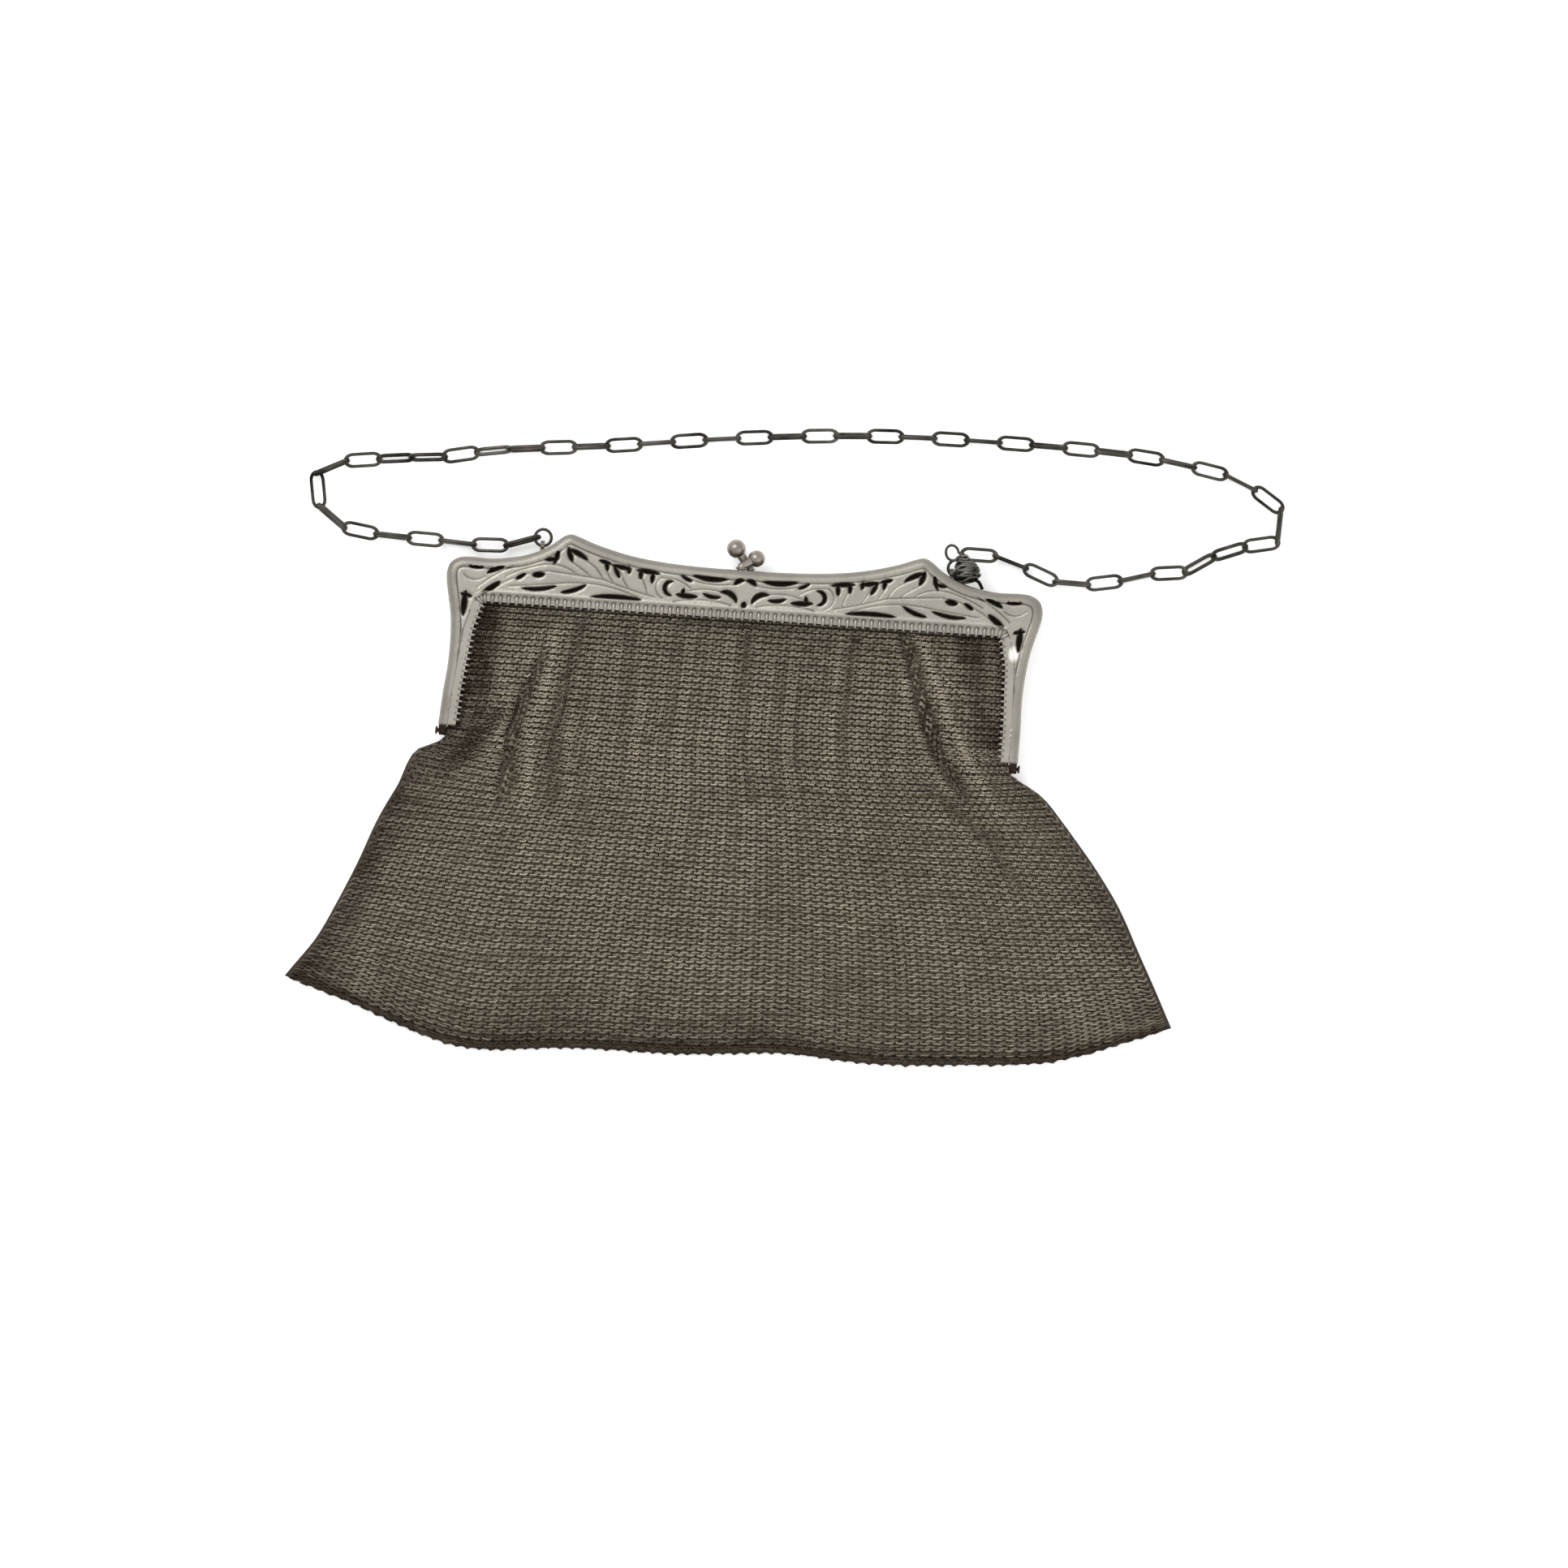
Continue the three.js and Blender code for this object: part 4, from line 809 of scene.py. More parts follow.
# Place as shares of the half width and crest height, length and width, heading and bend in degrees.
leaves = [
    (0, 0.19, 0.076, 0.065, 90, 0), (0.023, 0.508, 0.147, 0.052, -28, -50),
    (0.046, 0.326, 0.283, 0.065, 30, -90), (0.11, 0.27, 0.24, 0.042, 8, 40),
    (0.118, 0.51, 0.456, 0.057, 3, 25), (0.197, 0.495, 0.158, 0.035, 28, 15),
    (0.193, 0.258, 0.293, 0.063, 3, 10), (0.207, 0.304, 0.109, 0.044, 100, 0),
    (0.269, 0.359, 0.315, 0.046, 95, 190), (0.327, 0.554, 0.315, 0.049, 6, 0),
    (0.311, 0.484, 0.158, 0.049, -85, 0), (0.351, 0.516, 0.13, 0.046, -85, 0),
    (0.416, 0.592, 0.26, 0.054, 8, 0), (0.432, 0.527, 0.174, 0.049, -117, 0),
    (0.392, 0.56, 0.098, 0.043, -95, 0), (0.472, 0.647, 0.163, 0.043, 15, 0),
    (0.466, 0.598, 0.12, 0.043, -100, 0), (0.564, 0.739, 0.304, 0.06, 25, -25),
    (0.592, 0.717, 0.196, 0.063, -108, -15), (0.636, 0.668, 0.196, 0.052, -75, 25),
    (0.652, 0.636, 0.163, 0.043, -8, 0), (0.428, 0.182, 0.674, 0.049, 0, -12),
    (0.571, 0.234, 0.348, 0.046, -20, 28), (0.687, 0.217, 0.467, 0.041, -7, 28),
    (0.693, 0.413, 0.17, 0.068, -8, 0), (0.752, 0.375, 0.136, 0.041, -35, 0),
    (0.837, 0.457, 0.26, 0.06, -25, -20), (0.903, 0.467, 0.19, 0.041, 2, 0),
    (0.846, 0.201, 0.272, 0.065, -35, 10), (0.932, -0.043, 0.337, 0.076, -90, 0),
    (0.928, 0.07, 0.152, 0.049, 12, 0),
]
# Engraved lines: place, length, heading and bend as for the leaves.
veins = [
    (0.389, 0.299, 0.74, 15, 7), (0.571, 0.444, 0.78, 5, -2), (0.473, 0.323, 0.96, 8, -30),
    (0.499, 0.542, 0.33, 46, -42), (0.549, 0.53, 0.34, 34, -12), (0.623, 0.558, 0.56, 11, -55),
    (0.747, 0.469, 0.48, -22, -14), (0.762, 0.366, 0.82, -22, -31), (0.689, 0.277, 0.83, -7, 3),
    (0.811, 0.441, 0.85, -30, -26), (0.909, 0.288, 0.32, 4, 88), (0.338, 0.393, 0.28, 65, -29),
    (0.409, 0.428, 0.26, 62, 21), (0.46, 0.483, 0.26, 62, 21), (0.229, 0.469, 0.45, 15, -49),
    (0.299, 0.337, 0.36, -96, -131), (0.127, 0.368, 0.55, -1, -36), (0.114, 0.44, 0.59, 3, 28),
    (0.139, 0.22, 0.8, 0, -28),
]
face = {
    "shoulderWidth": 2.2, "shoulderDepth": 1.8, "rimWall": 1.2, "partingHeight": 5.4, "flangeWidth": 2.2,
    "flangeStep": 0.4, "margin": 0.5, "grid": 0.42, "holePitch": 2.05, "holeRadius": 0.4, "holeSet": 1.35,
    "roundDepth": 0.5, "roundReach": 0.5, "roundedAt": 0.42, "engraving": 0.17, "engravingWidth": 0.3,
    "rimGroove": 0.22, "grooveWidth": 0.35, "beadWidth": 0.4, "beadRise": 0.12, "holeSink": 0.12,
    "holeFade": 0.25, "leafGain": 0.88, "sheet": 0.35, "rimSheet": 0.6, "wallEase": 0.15,
}
# How dark the tarnish in the hollows is, and how far it reaches from an opening; rim is painted shade on the
# rounded shoulder, and under is painted shade under the pierced plate.
hollowTarnishAndShade = {"leaf": 0.75, "leafReach": 0.42, "engraving": 0.55, "groove": 0.6, "flange": 0.16, "hole": 0.4,
        "holeReach": 0.15, "rim": 0.24, "under": 0.8, "wall": 0.2}


def arcLine(along, rise, length, heading, bend):
    t = np.linspace(0, 1, 11)
    middle = (t[1:] + t[:-1]) / 2
    turn = np.radians(heading + bend * (middle - 0.5))
    steps = np.stack([np.cos(turn), np.sin(turn)], axis=1) * (length * crestHeight / 10)
    spine = np.vstack([[0, 0], np.cumsum(steps, axis=0)])
    return spine + np.array([along * halfWidth, armLength + rise * crestHeight]) - spine[5]


def leafOutline(leaf, grow=0.0):
    along, rise, length, width, heading, bend = leaf
    t = np.linspace(0, 1, 11)
    spine = arcLine(along, rise, length, heading, bend)
    across = np.radians(heading + bend * (t - 0.5)) + np.pi / 2
    bulge = width * face["leafGain"] * crestHeight / 2 * np.sin(np.pi * t) ** 0.7
    bulge[[0, -1]] = 0
    if grow:
        reach = spine[[0, -1]] - spine[[1, -2]]
        spine[[0, -1]] += unit(reach) * grow
        bulge += grow * np.array([0.25, *[1] * 9, 0.25])
    offset = np.stack([np.cos(across), np.sin(across)], axis=1) * bulge[:, None]
    return np.vstack([spine - offset, (spine + offset)[-2:0:-1]])


def insidePolygon(points, polygon):
    x, y = points[:, 0], points[:, 1]
    inside = np.zeros(len(points), dtype=bool)
    for (x0, y0), (x1, y1) in zip(polygon, np.roll(polygon, -1, axis=0)):
        crosses = (y0 > y) != (y1 > y)
        if y1 != y0:
            inside ^= crosses & (x < (x1 - x0) * (y - y0) / (y1 - y0) + x0)
    return inside


def offsetPath(path, distance):
    ahead = unit(np.gradient(path, axis=0))
    return path + np.stack([ahead[:, 1], -ahead[:, 0]], axis=1) * distance


def nearestOf(samples):
    tree = kdtree.KDTree(len(samples))
    for i, (x, y) in enumerate(samples):
        tree.insert((x, y, 0), i)
    tree.balance()
    return lambda points: np.array([tree.find((x, y, 0))[2] for x, y in points])


innerPath = evenly(openingPath(0), 0.8)  # right arm's end, over the opening, to the left arm's end
frameLoop = np.vstack([outerPath, innerPath])
leafLoops = [leafOutline(leaf) for leaf in leaves]
leafLoops += [loop[::-1] * [-1, 1] for loop, leaf in zip(leafLoops, leaves) if leaf[0] > 0]
roundedLoops = [leafOutline(leaf, face["roundedAt"]) for leaf in leaves]
roundedLoops += [loop[::-1] * [-1, 1] for loop, leaf in zip(roundedLoops, leaves) if leaf[0] > 0]
veinLines = [evenly(arcLine(*vein), 0.4) for vein in veins]
veinLines += [line * [-1, 1] for line in veinLines]
fieldPath = evenly(offsetPath(outerPath, face["shoulderWidth"] - face["margin"]), 0.6)
keptPath = evenly(openingPath(face["flangeWidth"] + face["margin"]), 0.6)
stepPath = evenly(openingPath(face["flangeWidth"]), 0.6)
holePath = evenly(openingPath(face["holeSet"]), face["holePitch"])
railHoles = np.array([spot for spot in holePath if spot[1] > armLength - 0.5])
holeCircle = [(math.cos(a), math.sin(a)) for a in np.arange(7) * 2 * np.pi / 7]
holeLoops = [spot + face["holeRadius"] * np.array(holeCircle) for spot in railHoles]


def frameFace():
    loops, edges = [], []

    def addLoop(loop, closed=True):
        start = sum(len(each) for each in loops)
        loops.append(loop)
        edges.extend((start + i, start + i + 1) for i in range(len(loop) - 1))
        if closed:
            edges.append((start + len(loop) - 1, start))

    addLoop(frameLoop)
    for loop in leafLoops + holeLoops:
        addLoop(loop)
    for loop in roundedLoops:
        addLoop(loop)
    for path in (fieldPath, keptPath, stepPath, evenly(offsetPath(outerPath, 0.3), 0.8),
                 evenly(offsetPath(outerPath, 0.8), 0.8), *veinLines):
        addLoop(path, False)
    for line in veinLines:
        for side in (-1, 1):
            addLoop(offsetPath(line, side * face["engravingWidth"]), False)
    for k in (0, 1, 2):
        addLoop(evenly(offsetPath(outerPath, face["shoulderWidth"] + k * face["grooveWidth"]), 0.6), False)
        if k:
            addLoop(evenly(openingPath(face["flangeWidth"] + k * face["beadWidth"]), 0.6), False)
    size = face["grid"]
    xs = np.arange(-halfWidth, halfWidth, size)
    ys = np.arange(0, armLength + crestHeight, size * 0.87)
    scatter = np.array([(x + (size / 2 if i % 2 else 0), y) for i, y in enumerate(ys) for x in xs])
    scatter = scatter[insidePolygon(scatter, frameLoop)]
    drawn = np.vstack(loops)
    scatter = scatter[nearestOf(drawn)(scatter) > size * 0.7]
    loops.append(scatter)
    flat = [Vector(point) for point in np.vstack(loops)]
    points, _, faces, *_ = delaunay_2d_cdt(flat, edges, [], 0, 1e-4)
    points = np.array([tuple(point) for point in points])
    faces = np.array([tuple(each) for each in faces])
    middles = points[faces].mean(axis=1)
    keep = insidePolygon(middles, frameLoop)
    field = np.vstack([fieldPath, [[fieldPath[-1][0], -50], [fieldPath[0][0], -50]]])
    inField = insidePolygon(middles, field)
    kept = insidePolygon(middles, np.vstack([keptPath, [[keptPath[-1][0], -50], [keptPath[0][0], -50]]]))
    for loop in leafLoops:
        near = np.all((middles > loop.min(0)) & (middles < loop.max(0)), axis=1)
        chosen = np.where(near)[0]
        hit = chosen[insidePolygon(middles[chosen], loop)]
        keep[hit[inField[hit] & ~kept[hit]]] = False
    for loop in holeLoops:
        near = np.where(np.all((middles > loop.min(0)) & (middles < loop.max(0)), axis=1))[0]
        keep[near[insidePolygon(middles[near], loop)]] = False
    faces = faces[keep]
    used, where = np.unique(faces, return_inverse=True)
    return points[used], where.reshape(faces.shape)


facePoints, faceTriangles = frameFace()
a, b, c = (facePoints[faceTriangles[:, k]] for k in range(3))
turnedOver = ((b - a)[:, 0] * (c - a)[:, 1] - (b - a)[:, 1] * (c - a)[:, 0]) < 0
faceTriangles[turnedOver] = faceTriangles[turnedOver][:, ::-1]

rimDistance = nearestOf(evenly(outerPath, 0.15))(facePoints)
lipDistance = nearestOf(evenly(innerPath, 0.15))(facePoints)
leafSamples = np.vstack([evenly(np.vstack([loop, loop[:1]]), 0.15) for loop in leafLoops])
leafDistance = nearestOf(leafSamples)(facePoints)
leafInside = np.zeros(len(facePoints), dtype=bool)
for loop in leafLoops:
    leafInside |= insidePolygon(facePoints, loop)
leafDistance[leafInside] = 0
holeDistance = np.maximum(nearestOf(railHoles)(facePoints) - face["holeRadius"], 0)

onFlange = lipDistance < face["flangeWidth"]
away = np.clip(rimDistance / face["shoulderWidth"], 0, 1)
height = topZ - face["shoulderDepth"] * (1 - np.sqrt(np.clip(1 - (1 - away) ** 2, 0, 1)))
grooveMiddle = face["shoulderWidth"] + face["grooveWidth"]
groove = np.clip(1 - np.abs(rimDistance - grooveMiddle) / face["grooveWidth"], 0, 1)
veinSamples = np.vstack([evenly(line, 0.12) for line in veinLines])
engraved = np.clip(1 - nearestOf(veinSamples)(facePoints) / face["engravingWidth"], 0, 1)
rounded = np.clip(1 - leafDistance / face["roundReach"], 0, 1) ** 1.5
field = (~onFlange) & (rimDistance > face["shoulderWidth"])
height -= np.where(field, face["roundDepth"] * rounded + face["engraving"] * engraved, 0)
height -= np.where(~onFlange, face["rimGroove"] * groove, 0)
bead = np.clip(1 - np.abs(lipDistance - face["flangeWidth"] - face["beadWidth"]) / face["beadWidth"], 0, 1)
height += np.where(field, face["beadRise"] * bead, 0)
holeDip = face["holeSink"] * np.exp(-holeDistance / face["holeFade"])
height -= np.where(onFlange, face["flangeStep"] + holeDip, 0)
nearLeaf = np.clip(1 - leafDistance / hollowTarnishAndShade["leafReach"], 0, 1)
recessTarnishAndShade = np.where(field, hollowTarnishAndShade["leaf"] * nearLeaf + hollowTarnishAndShade["engraving"] * engraved, 0)
recessTarnishAndShade += hollowTarnishAndShade["groove"] * np.where(~onFlange, groove, 0)
recessTarnishAndShade += np.where(onFlange & (facePoints[:, 1] > armLength - 0.4), hollowTarnishAndShade["flange"], 0)
recessTarnishAndShade += np.where(onFlange, hollowTarnishAndShade["hole"] * np.exp(-holeDistance / hollowTarnishAndShade["holeReach"]), 0)
# Painted shade on the rounded shoulder of the rim.
recessTarnishAndShade += np.where(rimDistance < face["shoulderWidth"], hollowTarnishAndShade["rim"], 0)

underside = np.minimum(height - face["sheet"], topZ - purse["plate"])
underside = np.where(rimDistance < face["rimWall"], height - face["rimSheet"], underside)
count = len(facePoints)
topPoints = np.column_stack([facePoints, height])
underPoints = np.column_stack([facePoints, underside])
faceFaces = [list(map(int, each)) for each in faceTriangles]
faceFaces += [[int(c) + count, int(b) + count, int(a) + count] for a, b, c in faceTriangles]
faceEdges = [(int(p), int(q)) for a, b, c in faceTriangles for p, q in ((a, b), (b, c), (c, a))]
knownEdges = set(faceEdges)
for a, b in faceEdges:
    if (b, a) not in knownEdges:
        faceFaces.append([b, a, a + count, b + count])
# Painted shade under the pierced plate and on the walls of its openings.
faceShade = np.concatenate([recessTarnishAndShade, np.full(count, hollowTarnishAndShade["under"])])

# The side wall of the front half, from the shoulder down to the parting.
wallInner = offsetPath(outerPath, face["rimWall"])
shoulderZ = topZ - face["shoulderDepth"] + 0.02
wallPoints, wallFaces = [], []
for (x0, y0), (x1, y1) in zip(outerPath, wallInner):
    wallPoints += [(x0, y0, shoulderZ), (x0, y0, face["partingHeight"] + face["wallEase"]),
                   (x0 + (x1 - x0) * 0.12, y0 + (y1 - y0) * 0.12, face["partingHeight"]),
                   (x1, y1, face["partingHeight"]), (x1, y1, shoulderZ - 0.1)]
for i in range(len(outerPath) - 1):
    for k in range(5):
        n = (k + 1) % 5
        wallFaces.append([i * 5 + k, (i + 1) * 5 + k, (i + 1) * 5 + n, i * 5 + n])
wallFaces += [[4, 3, 2, 1, 0], [(len(outerPath) - 1) * 5 + k for k in range(5)]]

# Walls across the arms' ends and the knuckles below them.
hinge = {"radius": 1.15, "length": 1.95, "gap": 0.3, "drop": 1.45, "ease": 0.15, "neckRise": 1.8}
blockFaces = [[3, 2, 1, 0], [4, 5, 6, 7]]
blockFaces += [[k, (k + 1) % 4, (k + 1) % 4 + 4, k + 4] for k in range(4)]
pinMiddle = abs(middleOf("hinge_pin_right")[0])
seamZ = topZ / 2
endParts = []
for side in (-1, 1):
    low, high = sorted((side * openingX(hinge["drop"]), side * outerX(hinge["drop"])))
    low, high = low + hinge["ease"], high - hinge["ease"]
    y0, y1 = hinge["drop"] + 0.03, hinge["drop"] + face["rimWall"]
    z0, z1 = face["partingHeight"], topZ - 0.9
    corners = [(low, y0, z0), (high, y0, z0), (high, y1, z0), (low, y1, z0),
               (low, y0, z1 - 1.2), (high, y0, z1 - 1.2), (high, y1, z1), (low, y1, z1)]
    endParts.append((corners, blockFaces))
    start = side * (pinMiddle + hinge["gap"] / 2)
    radius, reach, ease = hinge["radius"], hinge["length"], hinge["ease"]
    barrel = [(0, radius - ease), (ease, radius), (reach / 2, radius * 1.04), (reach - ease, radius),
              (reach, radius - ease)]
    endParts.append(turned((start, 0, seamZ), (side, 0, 0), barrel, 20))
    a, b = sorted((start, start + side * reach))
    neckEnd = hinge["drop"] + face["rimWall"] / 2
    neck = [(0, seamZ - 0.2), (0, seamZ + radius), (neckEnd, face["partingHeight"] + hinge["neckRise"]),
            (neckEnd, face["partingHeight"])]
    points = [(x, y, z) for x in (a, b) for y, z in neck]
    endParts.append((points, blockFaces))

allPoints, allFaces = joinParts([(np.vstack([topPoints, underPoints]).tolist(), faceFaces),
                                 (wallPoints, wallFaces), *endParts])
allShade = np.concatenate([faceShade, np.full(len(allPoints) - len(faceShade), hollowTarnishAndShade["wall"])])
makePiece("pierced_frame", allPoints, allFaces, frameSilver, replaced=("frame_front",),
          shade=allShade, sharp=50)
print("stage: pierced frame", len(allFaces))

# Binding wires that hold the mesh: broad and flat over the rail's flange, short teeth along the arms.
binding = {
    "railReach": 0.95, "armReach": 0.62, "railWire": 0.5, "armWire": 0.36, "rise": 0.5, "sink": 0.78,
    "steps": 12, "railSet": 0.7, "armSet": 0.25, "armPitch": 1.55, "armFrom": 2.5, "shade": 0.08,
}
ahead = unit(np.gradient(holePath, axis=0))
railSpots = [(spot, way) for spot, way in zip(holePath, ahead) if spot[1] > armLength - 0.5]
armPath = evenly(openingPath(0.1), binding["armPitch"])
armSpots = [(spot, way) for spot, way in zip(armPath, unit(np.gradient(armPath, axis=0)))
            if binding["armFrom"] < spot[1] < armLength - 0.9]
bindingParts = []
for onRail, chosen in ((True, railSpots), (False, armSpots)):
    reach = binding["railReach"] if onRail else binding["armReach"]
    thick = binding["railWire"] if onRail else binding["armWire"]
    for spot, way in chosen:
        towards = np.array([-way[1], way[0]])
        centre = spot + towards * (binding["railSet"] if onRail else binding["armSet"])
        turns = 2 * np.pi * np.arange(binding["steps"]) / binding["steps"]
        path = [(*(centre + towards * reach * math.cos(t)),
                 topZ - binding["sink"] + binding["rise"] * math.sin(t)) for t in turns]
        bindingParts.append(wire(path, thick, 6, True, (way[0], way[1], 0)))
bindingPoints, bindingFaces = joinParts(bindingParts)
bindingTones = np.clip(binding["shade"] + dice.normal(0, 0.08, len(bindingParts)), 0, 1)
bindingShade = np.repeat(bindingTones, len(bindingParts[0][0]))
makePiece("binding_wires", bindingPoints, bindingFaces, frameSilver, shade=bindingShade)
print("stage: binding wires", len(bindingParts))


# Clasp, pins, rings, knot and chain.

clasp = {
    "frontRadius": 2.15, "backRadius": 2.4, "stem": 1.0, "neck": 0.9, "root": 1.7, "poleDip": 0.03,
    "poleWidth": 0.16,
    "collar": [(0, 1.15), (0.12, 1.45), (0.42, 1.45), (0.6, 0.9)],  # place along the stem, radius
    "collarSet": 0.3,
}
railMiddle = float(railTop(0))
knobs = {
    "clasp_knob_front": ((-1.3, railMiddle, face["partingHeight"] + 1.5),
                         (2.4, railMiddle + 3.3, seamZ + 0.4), clasp["frontRadius"]),
    "clasp_knob_back": ((0.8, railMiddle, topZ - face["partingHeight"] - 1.5),
                        (-2.9, railMiddle + 5.5, seamZ - 1.12), clasp["backRadius"]),
}
for node, (foot, centre, radius) in knobs.items():
    foot, centre = np.array(foot), np.array(centre)
    neck = foot + [0, clasp["neck"], 0]
    bend = neck + (centre - neck) * 0.3
    stem = smoothPath([foot - [0, clasp["root"], 0], foot, neck, bend, centre], 6)
    swell = clasp["stem"] * (1 + 0.25 * np.linspace(0, 1, len(stem)) ** 3)
    poleAxis = unit(centre - bend)
    profile = [(z, r * (1 - clasp["poleDip"] * math.exp(-(z / clasp["poleWidth"]) ** 2)))
               for z, r in ballProfile(radius, 22)]
    ball = turned(centre, poleAxis, profile, 32)
    collar = turned(foot + [0, clasp["collarSet"], 0], (0, 1, 0), clasp["collar"], 20)
    points, faces = joinParts([wire(stem, swell, 14), ball, collar])
    makePiece(node.replace("clasp_knob", "kiss_lock"), points, faces, claspMetal,
              replaced=(node,), sharp=60, shade=np.full(len(points), 0.15))

earRing = {"radius": 2.1, "wire": 0.39,
           "shift": {"chain_ring_left": (0, 0, 0), "chain_ring_right": (1.5, -0.6, 0)}}
for node, shift in earRing["shift"].items():
    centre = middleOf(node) + np.array(shift)
    path = [centre + earRing["radius"] * np.array([math.cos(t), math.sin(t), 0])
            for t in 2 * np.pi * np.arange(32) / 32]
    points, faces = wire(path, earRing["wire"], 10, True)
    makePiece(node.replace("chain_ring", "ear_ring"), points, faces, chainMetal,
              replaced=(node,), shade=np.full(len(points), 0.2))

leftRing, rightRing = middleOf("chain_ring_left"), middleOf("chain_ring_right")
knotCentre = rightRing + [earRing["radius"], earRing["radius"] * 0.95, -purse["seatGap"]]
knot = {
    "top": (54.4, 53.6), "bottom": (56.3, 46.5), "height": 6.6, "flat": 0.55, "wire": 0.37,
    "swell": [(0, 0.6), (0.18, 1.1), (0.4, 2.2), (0.65, 2.95), (0.85, 2.9), (1, 1.9)],  # share, radius
    "core": 0.8, "eye": (51.75, 53.6), "eyeSize": (1.6, 1.95), "eyeTurn": 18, "eyeWire": 0.35,
    "strands": [  # both ends as shares of the axis, turns, gain, lean
        (0.02, 1, 7.3, 1, 0.05), (0.95, 0.3, 3.4, 1.1, -0.17), (0.15, 0.9, 2.6, 1.13, 0.2),
    ],
    "tail": [(58.6, 46.9, 6.6), (60, 44.9, 6.3)], "tailWire": 1.15,
    "tones": [0.1, 0.35, 0.2, 1, 0.45, 0.85],  # shade of each strand, the core, the eye and the tail
}
knotTop, knotBottom = np.array([*knot["top"], knot["height"]]), np.array([*knot["bottom"], knot["height"]])
knotAxis = unit(knotBottom - knotTop)
knotSide = unit(np.cross((0, 0, 1), knotAxis))


def knotPoint(share, angle, gain=1.0):
    radius = np.interp(share, *zip(*knot["swell"])) * gain
    return (knotTop + (knotBottom - knotTop) * share + knotSide * radius * math.cos(angle)
            + np.array([0, 0, radius * knot["flat"] * math.sin(angle)]))


knotParts = []
for share0, share1, turns, gain, lean in knot["strands"]:
    path = []
    for t in np.linspace(0, 1, int(turns * 14)):
        angle = 2 * math.pi * turns * t + gain * 3
        wander = lean * math.cos(angle + 2 * t)
        wander += 0.05 * math.sin(11 * t + gain * 9) + 0.03 * math.sin(3.3 * angle)
        path.append(knotPoint(np.clip(share0 + (share1 - share0) * t + wander, 0, 1), angle, gain))
    knotParts.append(wire(path, knot["wire"], 8, False, tuple(knotAxis)))
core = [knotPoint(share, angle, knot["core"])
        for share in np.linspace(0, 1, 12) for angle in np.arange(16) * math.pi / 8]
knotParts.append((core, tubeFaces(12, 16)))
turn = math.radians(knot["eyeTurn"])
eye = []
for t in np.linspace(-0.15, 2 * np.pi - 0.75, 26):
    across, along = knot["eyeSize"][0] * math.cos(t), knot["eyeSize"][1] * math.sin(t)
    eye.append((knot["eye"][0] + across * math.cos(turn) - along * math.sin(turn),
                knot["eye"][1] + across * math.sin(turn) + along * math.cos(turn),
                knot["height"] + 0.2 * math.cos(t)))
eye = [knotPoint(0.1, 0.5, 0.6), *eye, knotPoint(0.3, 2.5, 0.6)]
knotParts.append(wire(smoothPath(eye, 3), knot["eyeWire"], 8))
tail = smoothPath([knotPoint(0.5, 1.9, 1.0), knotPoint(0.75, 2.7, 1.15), *knot["tail"]], 6)
knotParts.append(wire(tail, knot["wire"] * knot["tailWire"], 8))
points, faces = joinParts(knotParts)
knotShade = np.concatenate([np.full(len(part[0]), tone) for part, tone in zip(knotParts, knot["tones"])])
makePiece("wound_wire", points, faces, knotMetal, replaced=("wire_knot",), shade=knotShade)

links = {
    "count": 49, "length": 9.68, "width": 3.8, "wire": 0.75, "overlap": 0.12, "sway": 7, "slant": 10,
    "endReach": 1.95, "heft": 1.1, "edgeHeft": 0.3, "endSwell": 0.2, "bow": (0.4, 2.5), "shade": 0.25,
    "startInset": 0.38,
    "route": [(-62, 47.7), (-78, 48), (-95, 48.6), (-103, 49.9), (-108.9, 54.5), (-112.3, 60.4),
              (-106.3, 66.4), (-98.3, 67.4), (-91, 69), (-82, 69.3), (-65, 72.6), (-38, 75.5), (-4, 79.9),
              (30, 82.8), (64, 83.3),
              (98, 82.2), (111, 80.4), (120, 78.7), (128, 75.1), (134.5, 70.4), (134.7, 62.8), (126.7, 60.7),
              (119.4, 58.4), (113.5, 53.3), (105, 52.3), (97, 49.9), (88, 48), (80, 47.6), (72, 50.6),
              (62.8, 53.6)],
    "twist": [(0, 0), (9, 0), (15, 180), (39, 180), (42, 270)],  # link number, degrees
}
jointReach = (links["wire"] - links["overlap"]) / 2
linkPitch = links["length"] - links["wire"] - 2 * jointReach
firstReach = earRing["radius"] - links["startInset"] - links["wire"] / 2 - purse["seatGap"] + jointReach
chainStart = leftRing - [firstReach, 0, 0]
chainEnd = knotCentre + [jointReach + 0.5, 2.2 * 0.54, 0]
lowZ = links["width"] / 2
fromStart = np.arange(links["count"] + 1)
jointZ = np.maximum.reduce([np.full(len(fromStart), lowZ),
                            chainStart[2] + (lowZ - chainStart[2]) * fromStart / 2,
                            chainEnd[2] + (lowZ - chainEnd[2]) * fromStart[::-1] / 2])


def walkChain(bow):
    slope = (chainEnd[1] - chainStart[1]) / (chainEnd[0] - chainStart[0])
    chords = [chainStart[1] + (x - chainStart[0]) * slope for x, y in links["route"]]
    bowed = [(x, chord + bow * (y - chord)) for (x, y), chord in zip(links["route"], chords)]
    places = [chainStart[:2], *bowed, chainEnd[:2]]
    track = smoothPath(places, 100)
    joints = [track[0]]
    for place in track:
        i = len(joints)
        if i > links["count"]:
            break
        step = math.sqrt(linkPitch ** 2 - (jointZ[i] - jointZ[i - 1]) ** 2)
        apart = place - joints[-1]
        distance = math.hypot(*apart)
        if distance >= step:
            joints.append(joints[-1] + apart * step / distance)
    return joints


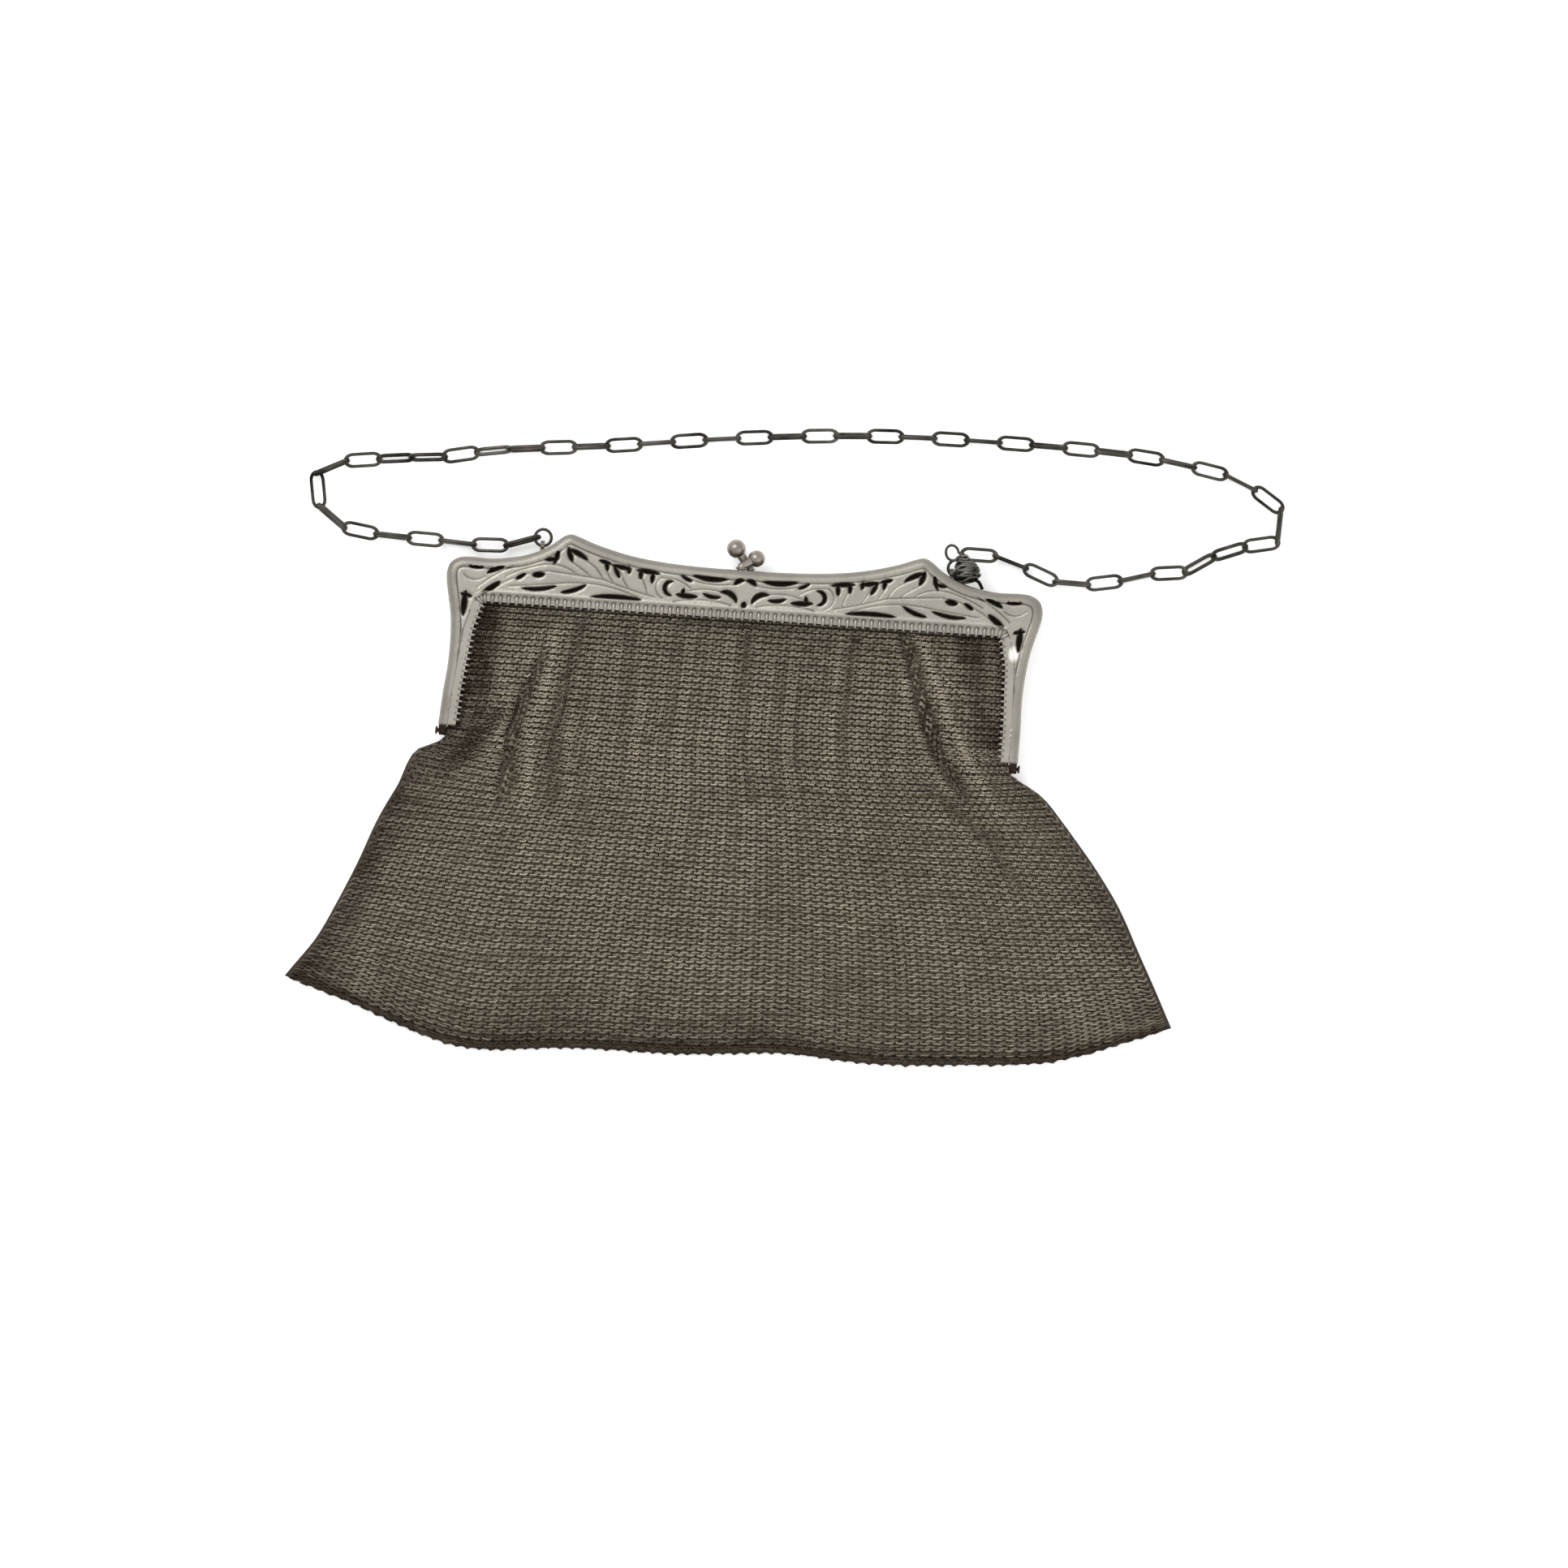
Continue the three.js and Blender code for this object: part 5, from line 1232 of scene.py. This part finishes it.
low, high = links["bow"]
for _ in range(16):
    bow = (low + high) / 2
    joints = walkChain(bow)
    if len(joints) <= links["count"] or joints[-1][0] < chainEnd[0]:
        low = bow
    else:
        high = bow
joints = [np.array([*spot, z]) for spot, z in zip(walkChain(high), jointZ)]
linkParts = []
for i, (start, end) in enumerate(zip(joints, joints[1:])):
    ahead = unit(end - start)
    flat = unit(np.cross((0, 0, 1), ahead))
    upright = np.cross(ahead, flat)
    twist = np.interp(i, *zip(*links["twist"]))
    roll = math.radians((0 if i % 2 else 90 + links["slant"]) + twist + links["sway"] * math.sin(2.4 * i))
    across = flat * math.cos(roll) + upright * math.sin(roll)
    radius = (links["width"] - links["wire"]) / 2
    heft = links["wire"] / 2 * (links["heft"] + links["edgeHeft"] * abs(math.sin(roll)))
    path, thick = [], []
    for joint, way in ((end, 1), (start, -1)):
        middle = joint + ahead * way * (jointReach - links["endReach"])
        for t in np.radians(np.linspace(-90, 90, 13)):
            reach = links["endReach"] * math.cos(t)
            path.append(middle + way * (ahead * reach + across * radius * math.sin(t)))
            thick.append(heft * (1 + links["endSwell"] * math.cos(t) ** 2))
    linkParts.append(wire(path, thick, 8, True, np.cross(ahead, across)))
points, faces = joinParts(linkParts)
points = np.array(points)
points[:, 2] = np.maximum(points[:, 2], rings["lowest"])
linkTones = np.clip(links["shade"] + dice.normal(0, 0.12, len(linkParts)), 0, 1)
linkShade = np.repeat(linkTones, len(linkParts[0][0]))
makePiece("link_chain", points, faces, chainMetal, replaced=("chain",), shade=linkShade)
print("stage: clasp, rings, knot and chain")

# The plain back half and the pins keep their solids, with their edges eased and the same lean.
leanNodes = bpy.data.node_groups.new("armLean", "GeometryNodeTree")
leanNodes.interface.new_socket("Geometry", in_out="INPUT", socket_type="NodeSocketGeometry")
leanNodes.interface.new_socket("Geometry", in_out="OUTPUT", socket_type="NodeSocketGeometry")
leanIn, leanOut = leanNodes.nodes.new("NodeGroupInput"), leanNodes.nodes.new("NodeGroupOutput")
leanPlace = leanNodes.nodes.new("ShaderNodeSeparateXYZ")
leanNodes.links.new(leanNodes.nodes.new("GeometryNodeInputPosition").outputs[0], leanPlace.inputs[0])
leanShift = leanNodes.nodes.new("ShaderNodeMapRange")
for label, value in (("From Min", hingeY), ("From Max", hingeY + armLean["from"] * mm),
                     ("To Min", -armLean["reach"] * mm), ("To Max", 0.0)):
    leanShift.inputs[label].default_value = value
leanNodes.links.new(leanPlace.outputs["Y"], leanShift.inputs["Value"])
leanVector = leanNodes.nodes.new("ShaderNodeCombineXYZ")
leanNodes.links.new(leanShift.outputs["Result"], leanVector.inputs["X"])
leanMove = leanNodes.nodes.new("GeometryNodeSetPosition")
leanNodes.links.new(leanIn.outputs[0], leanMove.inputs["Geometry"])
leanNodes.links.new(leanVector.outputs[0], leanMove.inputs["Offset"])
leanNodes.links.new(leanMove.outputs[0], leanOut.inputs[0])

for node, material in (("frame_back", backSilver), ("hinge_pin_left", hingeMetal),
                       ("hinge_pin_right", hingeMetal)):
    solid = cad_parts[node]
    solid.data.materials.clear()
    solid.data.materials.append(material)
    solid.data.shade_smooth()
    solid.data.set_sharp_from_angle(angle=math.radians(35))
    ease = solid.modifiers.new("easedEdges", "BEVEL")
    ease.width = 0.00015
    ease.segments = 2
    ease.limit_method = "ANGLE"
    ease.angle_limit = math.radians(35)
    solid.modifiers.new("armLean", "NODES").node_group = leanNodes

print("stage: finished")
